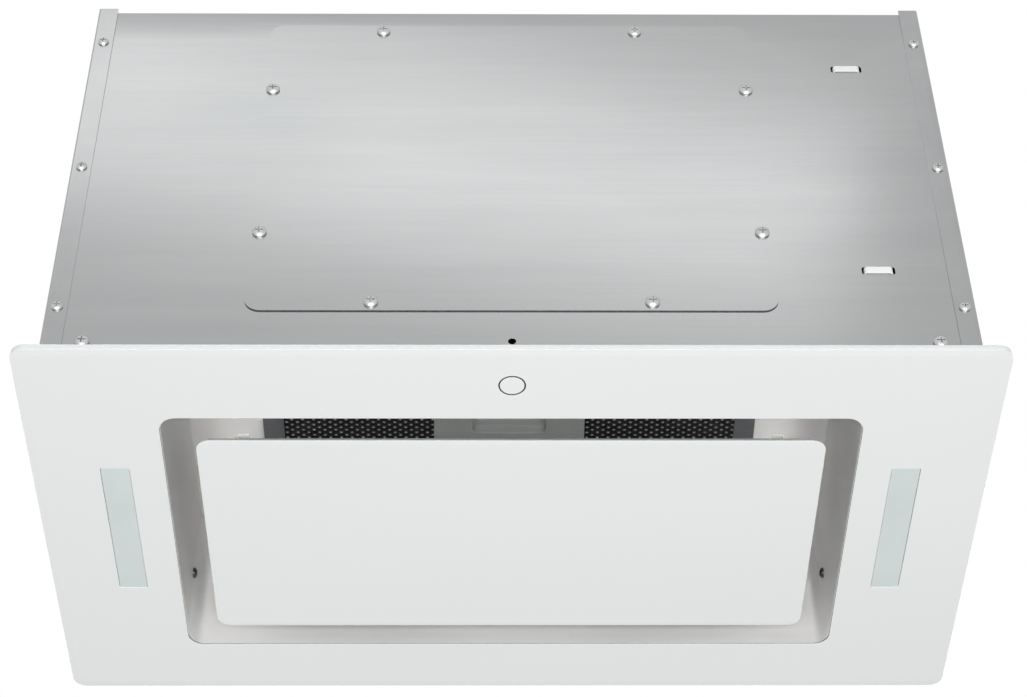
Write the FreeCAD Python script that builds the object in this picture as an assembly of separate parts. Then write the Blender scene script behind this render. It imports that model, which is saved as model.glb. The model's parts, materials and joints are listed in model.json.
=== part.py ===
"""Built-in ceiling range hood: glass underside, edge-suction panel, sheet metal body, blower and duct collar.

Millimetres. +X right, +Y to the back, +Z up. The origin is the centre of the glass underside.
"""
import FreeCAD
import Part
import math
import os

V = FreeCAD.Vector
X, Y, Z = V(1, 0, 0), V(0, 1, 0), V(0, 0, 1)

# ---- driving dimensions -------------------------------------------------------------------
TOUCH = 0.05              # gap left between a bore and the pin that is fixed in it
PLAY = 0.3                # gap between pieces that move past each other
RUNNING_FIT = 0.06        # radial clearance of a pin that turns in its hole
HOLE_PLAY = 0.2           # radial clearance of a screw in its hole

GLASS_WIDTH, GLASS_DEPTH, GLASS_THICK, GLASS_CORNER = 540.0, 300.0, 4.0, 8.0
SIDE_BAND, FRONT_BAND, REAR_BAND = 75.0, 54.3, 42.7   # glass beside, before and behind the opening
OPENING_CORNER = 9.5
ARRIS = 0.5               # ground edge of both glasses
BOND_THICK = 0.6          # adhesive tape between a glass and its sheet
BOND_WIDTH = 14.0
BOND_INSET = 1.0          # the tape stays this far inside its sheet
CARRIER_SHEET, CARRIER_INSET = 1.0, 4.0
UPSTAND_HEIGHT = 24.0     # the carrier's folded edges that the body panels screw to
HEM_WIDTH, HEM_CORNER = 7.0, 0.5      # the carrier's outer edges, each folded back on itself

SHEET = 0.8               # galvanised body sheet
RIM_SIDE, RIM_END = 13.0, 12.4        # the glass stands this far proud of the body
SIDE_RISE = 3.0           # the side panels stand this far above the front and rear panels
BEND_RADIUS = 1.4
FLANGE_WIDTH = 12.0       # side panel edge folded over the front and rear panels
RETURN_WIDTH = 10.0       # top edge of the front and rear panels, folded inwards
TOP_FOLD = 8.0            # side edges of the top panel, folded down

PLATE_WIDTH, PLATE_CORNER = 296.0, 9.0
PLATE_MARGIN = 11.6       # from the outlet plate to the body's front and rear faces
PLATE_DROP, PLATE_RISE = 13.4, 37.0   # front panel above the blind plate, and below it down to the carrier
PLATE_LAP, PORT_CORNER = 10.0, 6.0    # the plates lap this far over their ports
PLATE_SCREW_X, PLATE_SCREW_Z = 78.0, 63.3         # half spacing on the long and on the short edges
LONG_EDGE_INSET, SHORT_EDGE_INSET = 6.3, 4.8      # from a plate's edge to its screws

FLANGE_SCREW_LOW, FLANGE_SCREW_DROP, FLANGE_SCREW_INSET = 45.2, 30.6, 6.3
CORNER_SCREW_INSET, CORNER_SCREW_Z = 23.0, 18.6
EARTH_HOLE_Z, EARTH_HOLE_RADIUS = 19.4, 2.25
TIE_INSET, TIE_LOW, TIE_DROP = 50.7, 75.2, 54.8   # from the body's side, above the glass, below the top
TIE_SLOT_PITCH, TIE_SLOT_WIDTH, TIE_SLOT_HEIGHT, TIE_SLOT_CORNER = 15.2, 3.6, 6.0, 1.7
TIE_BAND, TIE_HEIGHT, TIE_PROUD, TIE_CORNER = 1.1, 4.4, 0.4, 2.2

# screws: head radius and height, shank radius and length
SMALL_HEAD, SMALL_RISE, SMALL_SHANK, SMALL_LENGTH = 3.2, 2.0, 1.7, 5.0
LARGE_HEAD, LARGE_RISE, LARGE_SHANK, LARGE_LENGTH = 4.1, 2.4, 2.1, 6.5
SMALL_SCREW = (SMALL_HEAD, SMALL_RISE, SMALL_SHANK, SMALL_LENGTH)
LARGE_SCREW = (LARGE_HEAD, LARGE_RISE, LARGE_SHANK, LARGE_LENGTH)

LINER_SHEET, LINER_SETBACK = 0.8, 0.5
LINER_FOOT = 8.0
LINER_SCREW_INSET, LINER_SCREW_Z = 2.5, 46.0    # the inset is from where the rear corner's curve starts
BRACKET_WIDTH, BRACKET_HEIGHT, BRACKET_SHEET = 14.0, 18.0, 1.2

LAMP_WIDTH, LAMP_LENGTH, LAMP_CORNER = 16.6, 107.0, 1.0
LAMP_OFFSET, LAMP_Y = 28.3, -1.0      # from the opening's edge to the lamp's centre
LAMP_RECESS = 0.25        # the lens sits this far above the glass face
LAMP_FIT = 0.15
LAMP_LIP = 3.0            # the lens laps this far over the glass
LAMP_HOUSING_WIDTH, LAMP_HOUSING_HEIGHT, LAMP_WALL, LAMP_END_ROOM = 28.0, 18.0, 1.2, 6.0
LAMP_BOARD_THICK, CHIP_SIZE, CHIP_HEIGHT, CHIPS = 1.6, 5.0, 1.0, 6

TOUCH_OFFSET = 26.5       # from the opening's front edge to the middle of the touch ring
RING_RADIUS, RING_BAND, RING_DEPTH = 7.6, 0.9, 0.3
TOUCH_WIDTH, TOUCH_DEPTH, TOUCH_HEIGHT, TOUCH_WALL = 40.0, 24.0, 12.4, 1.5
TOUCH_EDGE = 4.0          # from the cover's outside to the edge of the board
TOUCH_KEY_RADIUS, TOUCH_KEY_HEIGHT = 5.0, 3.0

GAP_SIDE, GAP_END = 18.65, 18.0       # suction gap round the panel
PANEL_CORNER = 8.0
TRAY_INSET, TRAY_RIM, TRAY_CORNER = 8.5, 3.0, 4.0
HINGE_SETBACK, HINGE_Z = 13.3, 13.0   # hinge axis, in front of the panel's rear edge
PIN_RADIUS, PIN_HEAD_RADIUS, PIN_HEAD, EYE_RADIUS = 2.5, 4.0, 1.5, 5.0
PIN_CAP = 1.0
LUG_SHEET, LUG_SHEET_GAP, LUG_FOOT_WIDTH, LUG_FOOT_REACH, LUG_FOOT = 2.0, 1.5, 12.0, 6.0, 1.5
RAIL_CLEAR, RAIL_SHEET = 4.0, 1.5     # from the filter's side to the rail
RAIL_LOW, RAIL_HIGH = 9.2, 16.0
RAIL_LEG_SETBACK, RAIL_LEG_WIDTH = 10.0, 24.0     # in front of the hinge axis
RAIL_GUSSET, RAIL_TAPER, RAIL_NOSE = 6.0, 12.0, 4.0
RAIL_FOOT = 14.0
CATCH_SETBACK = 13.3      # catch centre, behind the panel's front edge
CATCH_DEPTH, CATCH_SHEET, CATCH_HEIGHT, CATCH_PLAY = 6.0, 0.7, 4.4, 0.4
BALL_RADIUS, BALL_RISE, STUD_RADIUS, STUD_FOOT_RADIUS, STUD_FOOT = 2.2, 4.4, 1.5, 3.0, 0.8

FILTER_SIDE_ROOM, FILTER_FRONT_ROOM, FILTER_REAR_ROOM = 45.0, 30.4, 14.6   # from the opening's edges
FILTER_THICK = 9.0
FILTER_DROP = 5.0         # the filter's face hangs this far under the ceiling
FILTER_BAND, FILTER_SHEET = 12.5, 0.8
FILTER_GAP = 0.8
FACE_SHEET = 0.6
MIDDLE_WIDTH = 92.0
GRIP_WIDTH, GRIP_LENGTH, GRIP_CORNER, GRIP_HEIGHT = 46.6, 14.3, 4.5, 6.4
TAB_LENGTH, TAB_WIDTH, TAB_X, BEAD_RADIUS = 6.0, 20.0, 90.0, 0.6
SPRING_X, SPRING_WIDTH, SPRING_SHEET = 76.0, 24.0, 0.4
SPRING_SETBACK, SPRING_FOOT, SPRING_FIRST, SPRING_NOSE, SPRING_END = 1.0, 14.0, 1.0, 3.0, 6.0

COLLAR_RADIUS, COLLAR_HEIGHT, COLLAR_FLANGE = 75.0, 45.0, 8.0
STOP_HEIGHT, STOP_WIDTH, STOP_THICK = 8.0, 4.0, 1.0
FLAP_THICK, FLAP_PIN_Y, FLAP_PIN_RADIUS, FLAP_CLEAR = 1.0, 3.4, 1.5, 0.6
KNUCKLE_RADIUS, KNUCKLE_SETBACK = 2.6, 14.2       # the knuckles end this far inside the collar

BLOWER_SHEET, BLOWER_HALF = 1.0, 55.0
SCROLL_RADIUS, SCROLL_GROWTH, SCROLL_NECK = 80.0, 8.0, 104.0
SCROLL_CLEAR, BLOWER_RISE = 13.0, 12.2            # behind the front panel, above the recess
CHEEK_LAP = 3.0
TONGUE_ANGLE = 105.0
BLOWER_FLANGE = 9.0
WHEEL_SHIFT_Y, WHEEL_SHIFT_Z, WHEEL_GAP = 4.0, 2.0, 14.0
WHEEL_END_GAP, WHEEL_RING, BLADE_DEPTH, BLADE_THICK, BLADES = 5.0, 5.0, 12.0, 1.0, 30
BLADE_PITCH = 28.0        # degrees that a blade is turned from the radius
INLET_LAP, INLET_LIP = 8.0, 3.0
MOTOR_RADIUS, MOTOR_FRONT, MOTOR_BACK = 42.0, 8.0, 72.0
SHAFT_RADIUS, SHAFT_BACK, SHAFT_GRIP, NUT_RADIUS, NUT_THICK = 4.0, 14.0, 16.0, 7.0, 4.0
HUB_RADIUS, HUB_BACK, HUB_FRONT, DISC_THICK = 10.0, 9.0, 5.0, 1.6
BUSH_RADIUS, BUSH_BORE, BUSH_HEIGHT, BUSH_OFFSET = 6.0, 2.2, 8.0, 8.0
BRACKET_ARM, BRACKET_RING, MOTOR_SHEET = 14.0, 8.0, 1.5

ROD_INSET_SIDE, ROD_INSET_END, ROD_HOLE = 22.0, 32.6, 4.2
CABINET_HOLE_INSET, CABINET_HOLE_Z, CABINET_HOLE = 42.6, 60.0, 2.75
GLAND_INSET_SIDE, GLAND_INSET_END, GLAND_RADIUS, CABLE_HOLE = 52.0, 37.6, 8.0, 4.0
CONTROL_WIDTH, CONTROL_DEPTH, CONTROL_HEIGHT = 66.2, 100.0, 68.0
CONTROL_FRONT, CONTROL_DROP, CONTROL_WALL = -20.0, 10.4, 1.2
CAPACITOR_RADIUS, CAPACITOR_LENGTH, CAPACITOR_FRONT = 15.0, 56.0, 20.0
CAPACITOR_DROP, CAPACITOR_SPACE = 2.5, 10.0       # below the top panel, beside the control box
CLIP_WIDTH, CLIP_DEPTH = 12.0, 18.0
HARNESS_RADIUS, HARNESS_BEND = 3.5, 18.0
HARNESS_DROP, HARNESS_RISE = 11.0, 7.4            # below the control box's top, above the deck
HARNESS_CLEAR = 1.5       # behind the front panel

# ---- sizes that follow ---------------------------------------------------------------------
DECK = GLASS_THICK + BOND_THICK + CARRIER_SHEET      # top of the carrier sheet
OPENING_WIDTH = GLASS_WIDTH - 2 * SIDE_BAND
OPENING_DEPTH = GLASS_DEPTH - FRONT_BAND - REAR_BAND
OPENING_FRONT = FRONT_BAND - GLASS_DEPTH / 2
OPENING_BACK = GLASS_DEPTH / 2 - REAR_BAND
OPENING_SHIFT = (OPENING_FRONT + OPENING_BACK) / 2
BODY_WIDTH = GLASS_WIDTH - 2 * RIM_SIDE
BODY_DEPTH = GLASS_DEPTH - 2 * RIM_END
PLATE_DEPTH = BODY_DEPTH - 2 * PLATE_MARGIN           # the blind plate and the outlet plate are alike
BODY_TOP = DECK + PLATE_RISE + PLATE_DEPTH + PLATE_DROP   # top of the front and rear panels
PANEL_WIDTH = OPENING_WIDTH - 2 * GAP_SIDE
PANEL_DEPTH = OPENING_DEPTH - 2 * GAP_END
PANEL_FRONT = OPENING_FRONT + GAP_END
PANEL_BACK = OPENING_BACK - GAP_END
TRAY_TOP = GLASS_THICK + BOND_THICK + CARRIER_SHEET
LINER_WIDTH = OPENING_WIDTH + 2 * LINER_SETBACK
LINER_DEPTH = OPENING_DEPTH + 2 * LINER_SETBACK
LINER_CORNER = OPENING_CORNER + LINER_SETBACK         # the recess's walls turn with the opening's corners
LINER_BACK = OPENING_SHIFT + LINER_DEPTH / 2          # inner face of the rear wall
BODY_FRONT = -BODY_DEPTH / 2                          # outer face of the folded flanges
PANEL_FACE = BODY_FRONT + SHEET                       # outer face of the front panel
PANEL_INNER = PANEL_FACE + SHEET
SIDE_INNER = BODY_WIDTH / 2 - SHEET
END_HALF = SIDE_INNER - (BEND_RADIUS - SHEET)         # the end panels stop at the bend
SCROLL_Y = PANEL_INNER + SCROLL_CLEAR + CHEEK_LAP + SCROLL_RADIUS
SCROLL_Z = BODY_TOP - SCROLL_NECK
SCROLL_LOW = SCROLL_Z - SCROLL_GROWTH - SCROLL_RADIUS - CHEEK_LAP
CEILING_Z = SCROLL_LOW - BLOWER_RISE - LINER_SHEET    # underside of the suction recess's ceiling
WHEEL_Y = SCROLL_Y + WHEEL_SHIFT_Y
WHEEL_Z = SCROLL_Z + WHEEL_SHIFT_Z
WHEEL_RADIUS = SCROLL_RADIUS - WHEEL_GAP
INLET_RADIUS = WHEEL_RADIUS - INLET_LAP
BUSH_CIRCLE = INLET_RADIUS + BUSH_OFFSET
SIDE_TOP = BODY_TOP + SIDE_RISE
TOP_SHEET_Z = BODY_TOP - 2 * SHEET                    # underside of the top panel
PLATE_CENTRE_Z = BODY_TOP - PLATE_DROP - PLATE_DEPTH / 2
PORT_WIDTH = PLATE_WIDTH - 2 * PLATE_LAP
PORT_DEPTH = PLATE_DEPTH - 2 * PLATE_LAP
PLATE_SCREW_END = PLATE_DEPTH / 2 - LONG_EDGE_INSET
PLATE_SCREW_SIDE = PLATE_WIDTH / 2 - SHORT_EDGE_INSET
FLANGE_SCREW_X = BODY_WIDTH / 2 - FLANGE_SCREW_INSET
FLANGE_SCREW_HIGH = BODY_TOP - FLANGE_SCREW_DROP
FLANGE_SCREW_Z = (FLANGE_SCREW_LOW, (FLANGE_SCREW_LOW + FLANGE_SCREW_HIGH) / 2, FLANGE_SCREW_HIGH)
CORNER_SCREW_X = BODY_WIDTH / 2 - CORNER_SCREW_INSET
TIE_X = BODY_WIDTH / 2 - TIE_INSET
TIE_HEIGHTS = (TIE_LOW, BODY_TOP - TIE_DROP)
LAMP_X = OPENING_WIDTH / 2 + LAMP_OFFSET
TOUCH_Y = OPENING_FRONT - TOUCH_OFFSET
FILTER_WIDTH = OPENING_WIDTH - 2 * FILTER_SIDE_ROOM
FILTER_FRONT = OPENING_FRONT + FILTER_FRONT_ROOM
FILTER_BACK = OPENING_BACK - FILTER_REAR_ROOM
FILTER_DEPTH = FILTER_BACK - FILTER_FRONT
FILTER_CENTRE_Y = (FILTER_FRONT + FILTER_BACK) / 2
FILTER_FACE = CEILING_Z - FILTER_DROP
RAIL_X = FILTER_WIDTH / 2 + RAIL_CLEAR
HINGE_Y = PANEL_BACK - HINGE_SETBACK
RAIL_LEG_BACK = HINGE_Y - RAIL_LEG_SETBACK
RAIL_LEG_FRONT = RAIL_LEG_BACK - RAIL_LEG_WIDTH
CATCH_Y = PANEL_FRONT + CATCH_SETBACK
CATCH_X = RAIL_X - CATCH_SHEET - CATCH_PLAY - BALL_RADIUS
COLLAR_BASE = BODY_TOP                                # top of the outlet plate
COLLAR_INNER = COLLAR_RADIUS - SHEET
FLAP_Z = COLLAR_BASE + STOP_HEIGHT + PLAY
FLAP_PIN_Z = FLAP_Z + KNUCKLE_RADIUS
KNUCKLE_HALF = COLLAR_INNER - KNUCKLE_SETBACK
ROD_X, ROD_Y = BODY_WIDTH / 2 - ROD_INSET_SIDE, BODY_DEPTH / 2 - ROD_INSET_END
CABINET_HOLE_Y = BODY_DEPTH / 2 - CABINET_HOLE_INSET
GLAND_X, GLAND_Y = BODY_WIDTH / 2 - GLAND_INSET_SIDE, BODY_DEPTH / 2 - GLAND_INSET_END
CONTROL_LEFT = SIDE_INNER - CONTROL_WIDTH
CONTROL_TOP = TOP_SHEET_Z - CONTROL_DROP
CONTROL_LOW = CONTROL_TOP - CONTROL_HEIGHT
CONTROL_BACK = CONTROL_FRONT + CONTROL_DEPTH
CAPACITOR_X = CONTROL_LEFT - CAPACITOR_SPACE - CAPACITOR_RADIUS
CAPACITOR_Z = TOP_SHEET_Z - CAPACITOR_DROP - CAPACITOR_RADIUS


# ---- small helpers ---------------------------------------------------------------------------
def box(x0, x1, y0, y1, z0, z1):
    return Part.makeBox(x1 - x0, y1 - y0, z1 - z0, V(x0, y0, z0))


def cylinder(radius, start, along):
    return Part.makeCylinder(radius, along.Length, start, along)


def tube(outer, inner, start, along):
    return cylinder(outer, start, along).cut(cylinder(inner, start - along, along * 3))


def rounded(centre, width, height, radius, depth, u=X, v=Y):
    """A rounded rectangle centred on a point, width along u and height along v, pushed along depth."""
    a, b, r = width / 2, height / 2, min(radius, width / 2 - 0.01, height / 2 - 0.01)

    def at(p, q):
        return centre + u * p + v * q

    diagonal = r * (1 - math.sqrt(0.5))
    edges = [Part.LineSegment(at(-a + r, -b), at(a - r, -b)),
             Part.Arc(at(a - r, -b), at(a - diagonal, -b + diagonal), at(a, -b + r)),
             Part.LineSegment(at(a, -b + r), at(a, b - r)),
             Part.Arc(at(a, b - r), at(a - diagonal, b - diagonal), at(a - r, b)),
             Part.LineSegment(at(a - r, b), at(-a + r, b)),
             Part.Arc(at(-a + r, b), at(-a + diagonal, b - diagonal), at(-a, b - r)),
             Part.LineSegment(at(-a, b - r), at(-a, -b + r)),
             Part.Arc(at(-a, -b + r), at(-a + diagonal, -b + diagonal), at(-a + r, -b))]
    return Part.Face(Part.Wire([edge.toShape() for edge in edges])).extrude(depth)


def plate(width, depth, radius, z0, z1, y=0.0, x=0.0):
    """A flat rounded sheet lying in XY."""
    return rounded(V(x, y, z0), width, depth, radius, Z * (z1 - z0))


def prism(points, along):
    """A closed outline of points pushed along a vector."""
    return Part.Face(Part.makePolygon(points + points[:1])).extrude(along)


def joined(shapes):
    return shapes[0].multiFuse(shapes[1:]).removeSplitter() if len(shapes) > 1 else shapes[0]


def group(shapes):
    return Part.makeCompound(shapes)


def mirrored(shape):
    return shape.mirror(V(0, 0, 0), X)


def both_sides(shape):
    return group([mirrored(shape), shape])


def pan_screw(at, outwards, size):
    """A cross-recess pan-head screw: its head sits on the point and looks outwards."""
    head, height, shank, length = size
    rise = height * 0.45
    profile = [Part.LineSegment(V(0, 0, -length), V(shank, 0, -length)),
               Part.LineSegment(V(shank, 0, -length), V(shank, 0, 0)),
               Part.LineSegment(V(shank, 0, 0), V(head, 0, 0)),
               Part.LineSegment(V(head, 0, 0), V(head, 0, rise)),
               Part.Arc(V(head, 0, rise), V(head * 0.78, 0, height * 0.86), V(0, 0, height)),
               Part.LineSegment(V(0, 0, height), V(0, 0, -length))]
    body = Part.Face(Part.Wire([edge.toShape() for edge in profile])).revolve(V(0, 0, 0), Z, 360)
    arm, slot = head * 0.55, head * 0.2
    for half_x, half_y in ((arm, slot / 2), (slot / 2, arm)):
        body = body.cut(box(-half_x, half_x, -half_y, half_y, height * 0.35, height * 2))
    body.Placement = FreeCAD.Placement(at, FreeCAD.Rotation(Z, outwards))
    return body


def drilled(shape, points, radius, along, reach=6.0):
    """Cut round holes through a sheet at the points."""
    for point in points:
        shape = shape.cut(cylinder(radius, point - along * reach, along * (2 * reach)))
    return shape


# ---- places of the screws ----------------------------------------------------------------------
def plate_screw_spots():
    """Screw places of a blind or outlet plate, as offsets from its centre."""
    pairs = [(sx * PLATE_SCREW_X, sy * PLATE_SCREW_END) for sx in (-1, 1) for sy in (-1, 1)]
    return pairs + [(sx * PLATE_SCREW_SIDE, sy * PLATE_SCREW_Z) for sx in (-1, 1) for sy in (-1, 1)]


def blind_screw_points(y):
    return [V(a, y, PLATE_CENTRE_Z + b) for a, b in plate_screw_spots()]


def outlet_screw_points(z):
    return [V(a, b, z) for a, b in plate_screw_spots()]


def flange_screw_points(y):
    return [V(side * FLANGE_SCREW_X, y, z) for side in (-1, 1) for z in FLANGE_SCREW_Z]


def corner_screw_points(y):
    return [V(side * CORNER_SCREW_X, y, CORNER_SCREW_Z) for side in (-1, 1)]


def liner_screw_points(x):
    y = LINER_BACK - LINER_CORNER - LINER_SCREW_INSET
    return [V(side * x, y, LINER_SCREW_Z) for side in (-1, 1)]


def rail_screw_points(z):
    middle = RAIL_X + RAIL_SHEET + RAIL_FOOT / 2
    reach = (RAIL_LEG_BACK - RAIL_LEG_FRONT) / 2
    return [V(side * middle, (RAIL_LEG_FRONT + RAIL_LEG_BACK) / 2 + step * reach * 0.5, z)
            for side in (-1, 1) for step in (-1, 1)]


# ---- glass underside and its carrier ---------------------------------------------------------------
def glass_frame():
    glass = plate(GLASS_WIDTH, GLASS_DEPTH, GLASS_CORNER, 0, GLASS_THICK)
    glass = glass.cut(plate(OPENING_WIDTH, OPENING_DEPTH, OPENING_CORNER, -1, GLASS_THICK + 1, OPENING_SHIFT))
    for side in (-1, 1):
        glass = glass.cut(lamp_window(0, -1, GLASS_THICK + 1, side))
    groove = tube(RING_RADIUS + TOUCH, RING_RADIUS - RING_BAND - TOUCH, V(0, TOUCH_Y, 0), Z * RING_DEPTH)
    glass = glass.cut(groove)
    rim = [edge for edge in glass.Edges if outer_rim(edge)]
    return glass.makeChamfer(ARRIS, rim)


def outer_rim(edge):
    """True for the edges of the glass's outer outline, above and below."""
    span = edge.BoundBox
    on_side = min(abs(span.XMin), abs(span.XMax)) > GLASS_WIDTH / 2 - GLASS_CORNER - TOUCH
    on_end = min(abs(span.YMin), abs(span.YMax)) > GLASS_DEPTH / 2 - GLASS_CORNER - TOUCH
    return span.ZLength < 1e-6 and (on_side or on_end)


def glass_bond_tape():
    inset = CARRIER_INSET + BOND_INSET
    width, depth = GLASS_WIDTH - 2 * inset, GLASS_DEPTH - 2 * inset
    outer = plate(width, depth, GLASS_CORNER, GLASS_THICK, GLASS_THICK + BOND_THICK)
    inner = plate(width - 2 * BOND_WIDTH, depth - 2 * BOND_WIDTH, GLASS_CORNER, 0, GLASS_THICK + 2)
    return outer.cut(inner)


def lamp_window(margin, z0, z1, side=1):
    width, length = LAMP_WIDTH + 2 * margin, LAMP_LENGTH + 2 * margin
    return plate(width, length, LAMP_CORNER, z0, z1, LAMP_Y, side * LAMP_X)


def top_of_carrier():
    return DECK + UPSTAND_HEIGHT


def carrier_frame():
    """Sheet frame bonded to the glass: hemmed edges, upstands for the body panels, lamp and switch holes."""
    base = GLASS_THICK + BOND_THICK
    width, depth = GLASS_WIDTH - 2 * CARRIER_INSET, GLASS_DEPTH - 2 * CARRIER_INSET
    deck = plate(width, depth, GLASS_CORNER, base, DECK)
    top = top_of_carrier()
    half = SIDE_INNER - FLANGE_WIDTH
    parts = [deck,
             box(-half, half, PANEL_INNER, PANEL_INNER + CARRIER_SHEET, base, top),
             box(-half, half, -PANEL_INNER - CARRIER_SHEET, -PANEL_INNER, base, top)]
    reach = -PANEL_INNER - FLANGE_WIDTH
    for side in (-1, 1):
        inner, outer = sorted((side * (SIDE_INNER - CARRIER_SHEET), side * SIDE_INNER))
        parts.append(box(inner, outer, -reach, reach, base, top))
        hem_side, hem_end = side * (width - HEM_WIDTH) / 2, side * (depth - HEM_WIDTH) / 2
        run_side, run_end = depth - 2 * GLASS_CORNER, width - 2 * GLASS_CORNER
        parts.append(plate(HEM_WIDTH, run_side, HEM_CORNER, DECK, DECK + CARRIER_SHEET, 0, hem_side))
        parts.append(plate(run_end, HEM_WIDTH, HEM_CORNER, DECK, DECK + CARRIER_SHEET, hem_end))
    frame = joined(parts)
    frame = frame.cut(plate(LINER_WIDTH, LINER_DEPTH, OPENING_CORNER, 0, DECK + 1, OPENING_SHIFT))
    for side in (-1, 1):
        frame = frame.cut(lamp_window(LAMP_LIP + 2 * PLAY, 0, DECK + 1, side))
    window = 2 * TOUCH_WALL + 2 * HOLE_PLAY
    frame = frame.cut(plate(TOUCH_WIDTH - window, TOUCH_DEPTH - window, 1.0, 0, DECK + 1, TOUCH_Y))
    screws = corner_screw_points(PANEL_INNER) + corner_screw_points(-PANEL_INNER)
    frame = drilled(frame, screws + blind_screw_points(PANEL_INNER), LARGE_SHANK + HOLE_PLAY, Y)
    return drilled(frame, [V(0, PANEL_INNER, EARTH_HOLE_Z)], EARTH_HOLE_RADIUS, Y)


def touch_ring():
    return tube(RING_RADIUS, RING_RADIUS - RING_BAND, V(0, TOUCH_Y, 0), Z * RING_DEPTH)


def touch_board():
    board = plate(TOUCH_WIDTH - 2 * TOUCH_EDGE, TOUCH_DEPTH - 2 * TOUCH_EDGE, 1.0, GLASS_THICK, DECK, TOUCH_Y)
    return joined([board, cylinder(TOUCH_KEY_RADIUS, V(0, TOUCH_Y, DECK), Z * TOUCH_KEY_HEIGHT)])


def touch_cover():
    outer = plate(TOUCH_WIDTH, TOUCH_DEPTH, 2.0, DECK, DECK + TOUCH_HEIGHT, TOUCH_Y)
    return outer.cut(plate(TOUCH_WIDTH - 2 * TOUCH_WALL, TOUCH_DEPTH - 2 * TOUCH_WALL, 1.0, DECK - 1,
                           DECK + TOUCH_HEIGHT - TOUCH_WALL, TOUCH_Y))


def lamp_lens():
    window = lamp_window(-LAMP_FIT, LAMP_RECESS, GLASS_THICK)
    return joined([window, lamp_window(LAMP_LIP, GLASS_THICK, DECK)])


def lamp_housing():
    length = LAMP_LENGTH + 2 * LAMP_END_ROOM
    outer = plate(LAMP_HOUSING_WIDTH, length, 2.0, DECK, DECK + LAMP_HOUSING_HEIGHT, LAMP_Y, LAMP_X)
    inner = plate(LAMP_HOUSING_WIDTH - 2 * LAMP_WALL, length - 2 * LAMP_WALL, 1.0, DECK - 1,
                  DECK + LAMP_HOUSING_HEIGHT - LAMP_WALL, LAMP_Y, LAMP_X)
    return outer.cut(inner)


def lamp_board():
    top = DECK + LAMP_HOUSING_HEIGHT - LAMP_WALL
    width = LAMP_HOUSING_WIDTH - 2 * LAMP_WALL - 1
    board_low = top - LAMP_BOARD_THICK
    half = CHIP_SIZE / 2
    pieces = [plate(width, LAMP_LENGTH, 1.0, board_low, top, LAMP_Y, LAMP_X)]
    for index in range(CHIPS):
        y = LAMP_Y + LAMP_LENGTH * ((index + 0.5) / CHIPS - 0.5)
        pieces.append(box(LAMP_X - half, LAMP_X + half, y - half, y + half, board_low - CHIP_HEIGHT, top))
    return joined(pieces)


# ---- suction recess ---------------------------------------------------------------------------------
def suction_liner():
    outer_w, outer_d = LINER_WIDTH + 2 * LINER_SHEET, LINER_DEPTH + 2 * LINER_SHEET
    shell = plate(outer_w, outer_d, LINER_CORNER + LINER_SHEET, DECK, CEILING_Z + LINER_SHEET, OPENING_SHIFT)
    foot = plate(outer_w + 2 * LINER_FOOT, outer_d + 2 * LINER_FOOT, LINER_CORNER, DECK, DECK + LINER_SHEET,
                 OPENING_SHIFT)
    liner = joined([shell, foot])
    liner = liner.cut(plate(LINER_WIDTH, LINER_DEPTH, LINER_CORNER, DECK - 1, CEILING_Z, OPENING_SHIFT))
    hole = plate(FILTER_WIDTH + 2 * FILTER_GAP, FILTER_DEPTH + 2 * FILTER_GAP, 1.0, CEILING_Z - 1,
                 CEILING_Z + LINER_SHEET + 1, FILTER_CENTRE_Y)
    liner = liner.cut(hole)
    for side in (-1, 1):
        half = SPRING_WIDTH / 2 + 1
        front = FILTER_FRONT - PLAY - SPRING_SETBACK - 2 * SPRING_SHEET - FILTER_GAP - PLAY
        liner = liner.cut(box(side * SPRING_X - half, side * SPRING_X + half, front, FILTER_FRONT,
                              CEILING_Z - 1, CEILING_Z + LINER_SHEET + 1))
    liner = drilled(liner, liner_screw_points(LINER_WIDTH / 2), SMALL_SHANK + HOLE_PLAY, X)
    return drilled(liner, rail_screw_points(CEILING_Z), SMALL_SHANK + HOLE_PLAY, Z)


def liner_brackets():
    """Channels that tie the recess's side walls to the side panels."""
    half, rise = BRACKET_WIDTH / 2, BRACKET_HEIGHT / 2
    pieces = []
    for spot in liner_screw_points(LINER_WIDTH / 2 + LINER_SHEET):
        low, high = sorted((spot.x, math.copysign(SIDE_INNER, spot.x)))
        outer = box(low, high, spot.y - half, spot.y + half, spot.z - rise, spot.z + rise)
        channel = outer.cut(box(low + BRACKET_SHEET, high - BRACKET_SHEET, spot.y - half + BRACKET_SHEET,
                                spot.y + 2 * half, spot.z - 2 * rise, spot.z + 2 * rise))
        pieces.append(drilled(channel, [spot], SMALL_SHANK + HOLE_PLAY, X))
    return group(pieces)


def liner_screws():
    return group([pan_screw(at, X * math.copysign(1, -at.x), SMALL_SCREW)
                  for at in liner_screw_points(LINER_WIDTH / 2)])


# ---- body panels --------------------------------------------------------------------------------------
def end_panel():
    """Front panel: a flat sheet with its top edge folded back."""
    sheet = box(-END_HALF, END_HALF, PANEL_FACE, PANEL_INNER, DECK, BODY_TOP)
    fold = box(-END_HALF, END_HALF, PANEL_FACE, PANEL_FACE + RETURN_WIDTH, BODY_TOP - SHEET, BODY_TOP)
    panel = joined([sheet, fold])
    bend = [edge for edge in panel.Edges if edge.Length > BODY_WIDTH / 2
            and abs(edge.CenterOfMass.y - PANEL_FACE) < 0.01 and abs(edge.CenterOfMass.z - BODY_TOP) < 0.01]
    panel = panel.makeFillet(SHEET * 0.9, bend)
    panel = drilled(panel, flange_screw_points(PANEL_FACE), SMALL_SHANK + HOLE_PLAY, Y)
    return drilled(panel, corner_screw_points(PANEL_FACE), LARGE_SHANK + HOLE_PLAY, Y)


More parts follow.
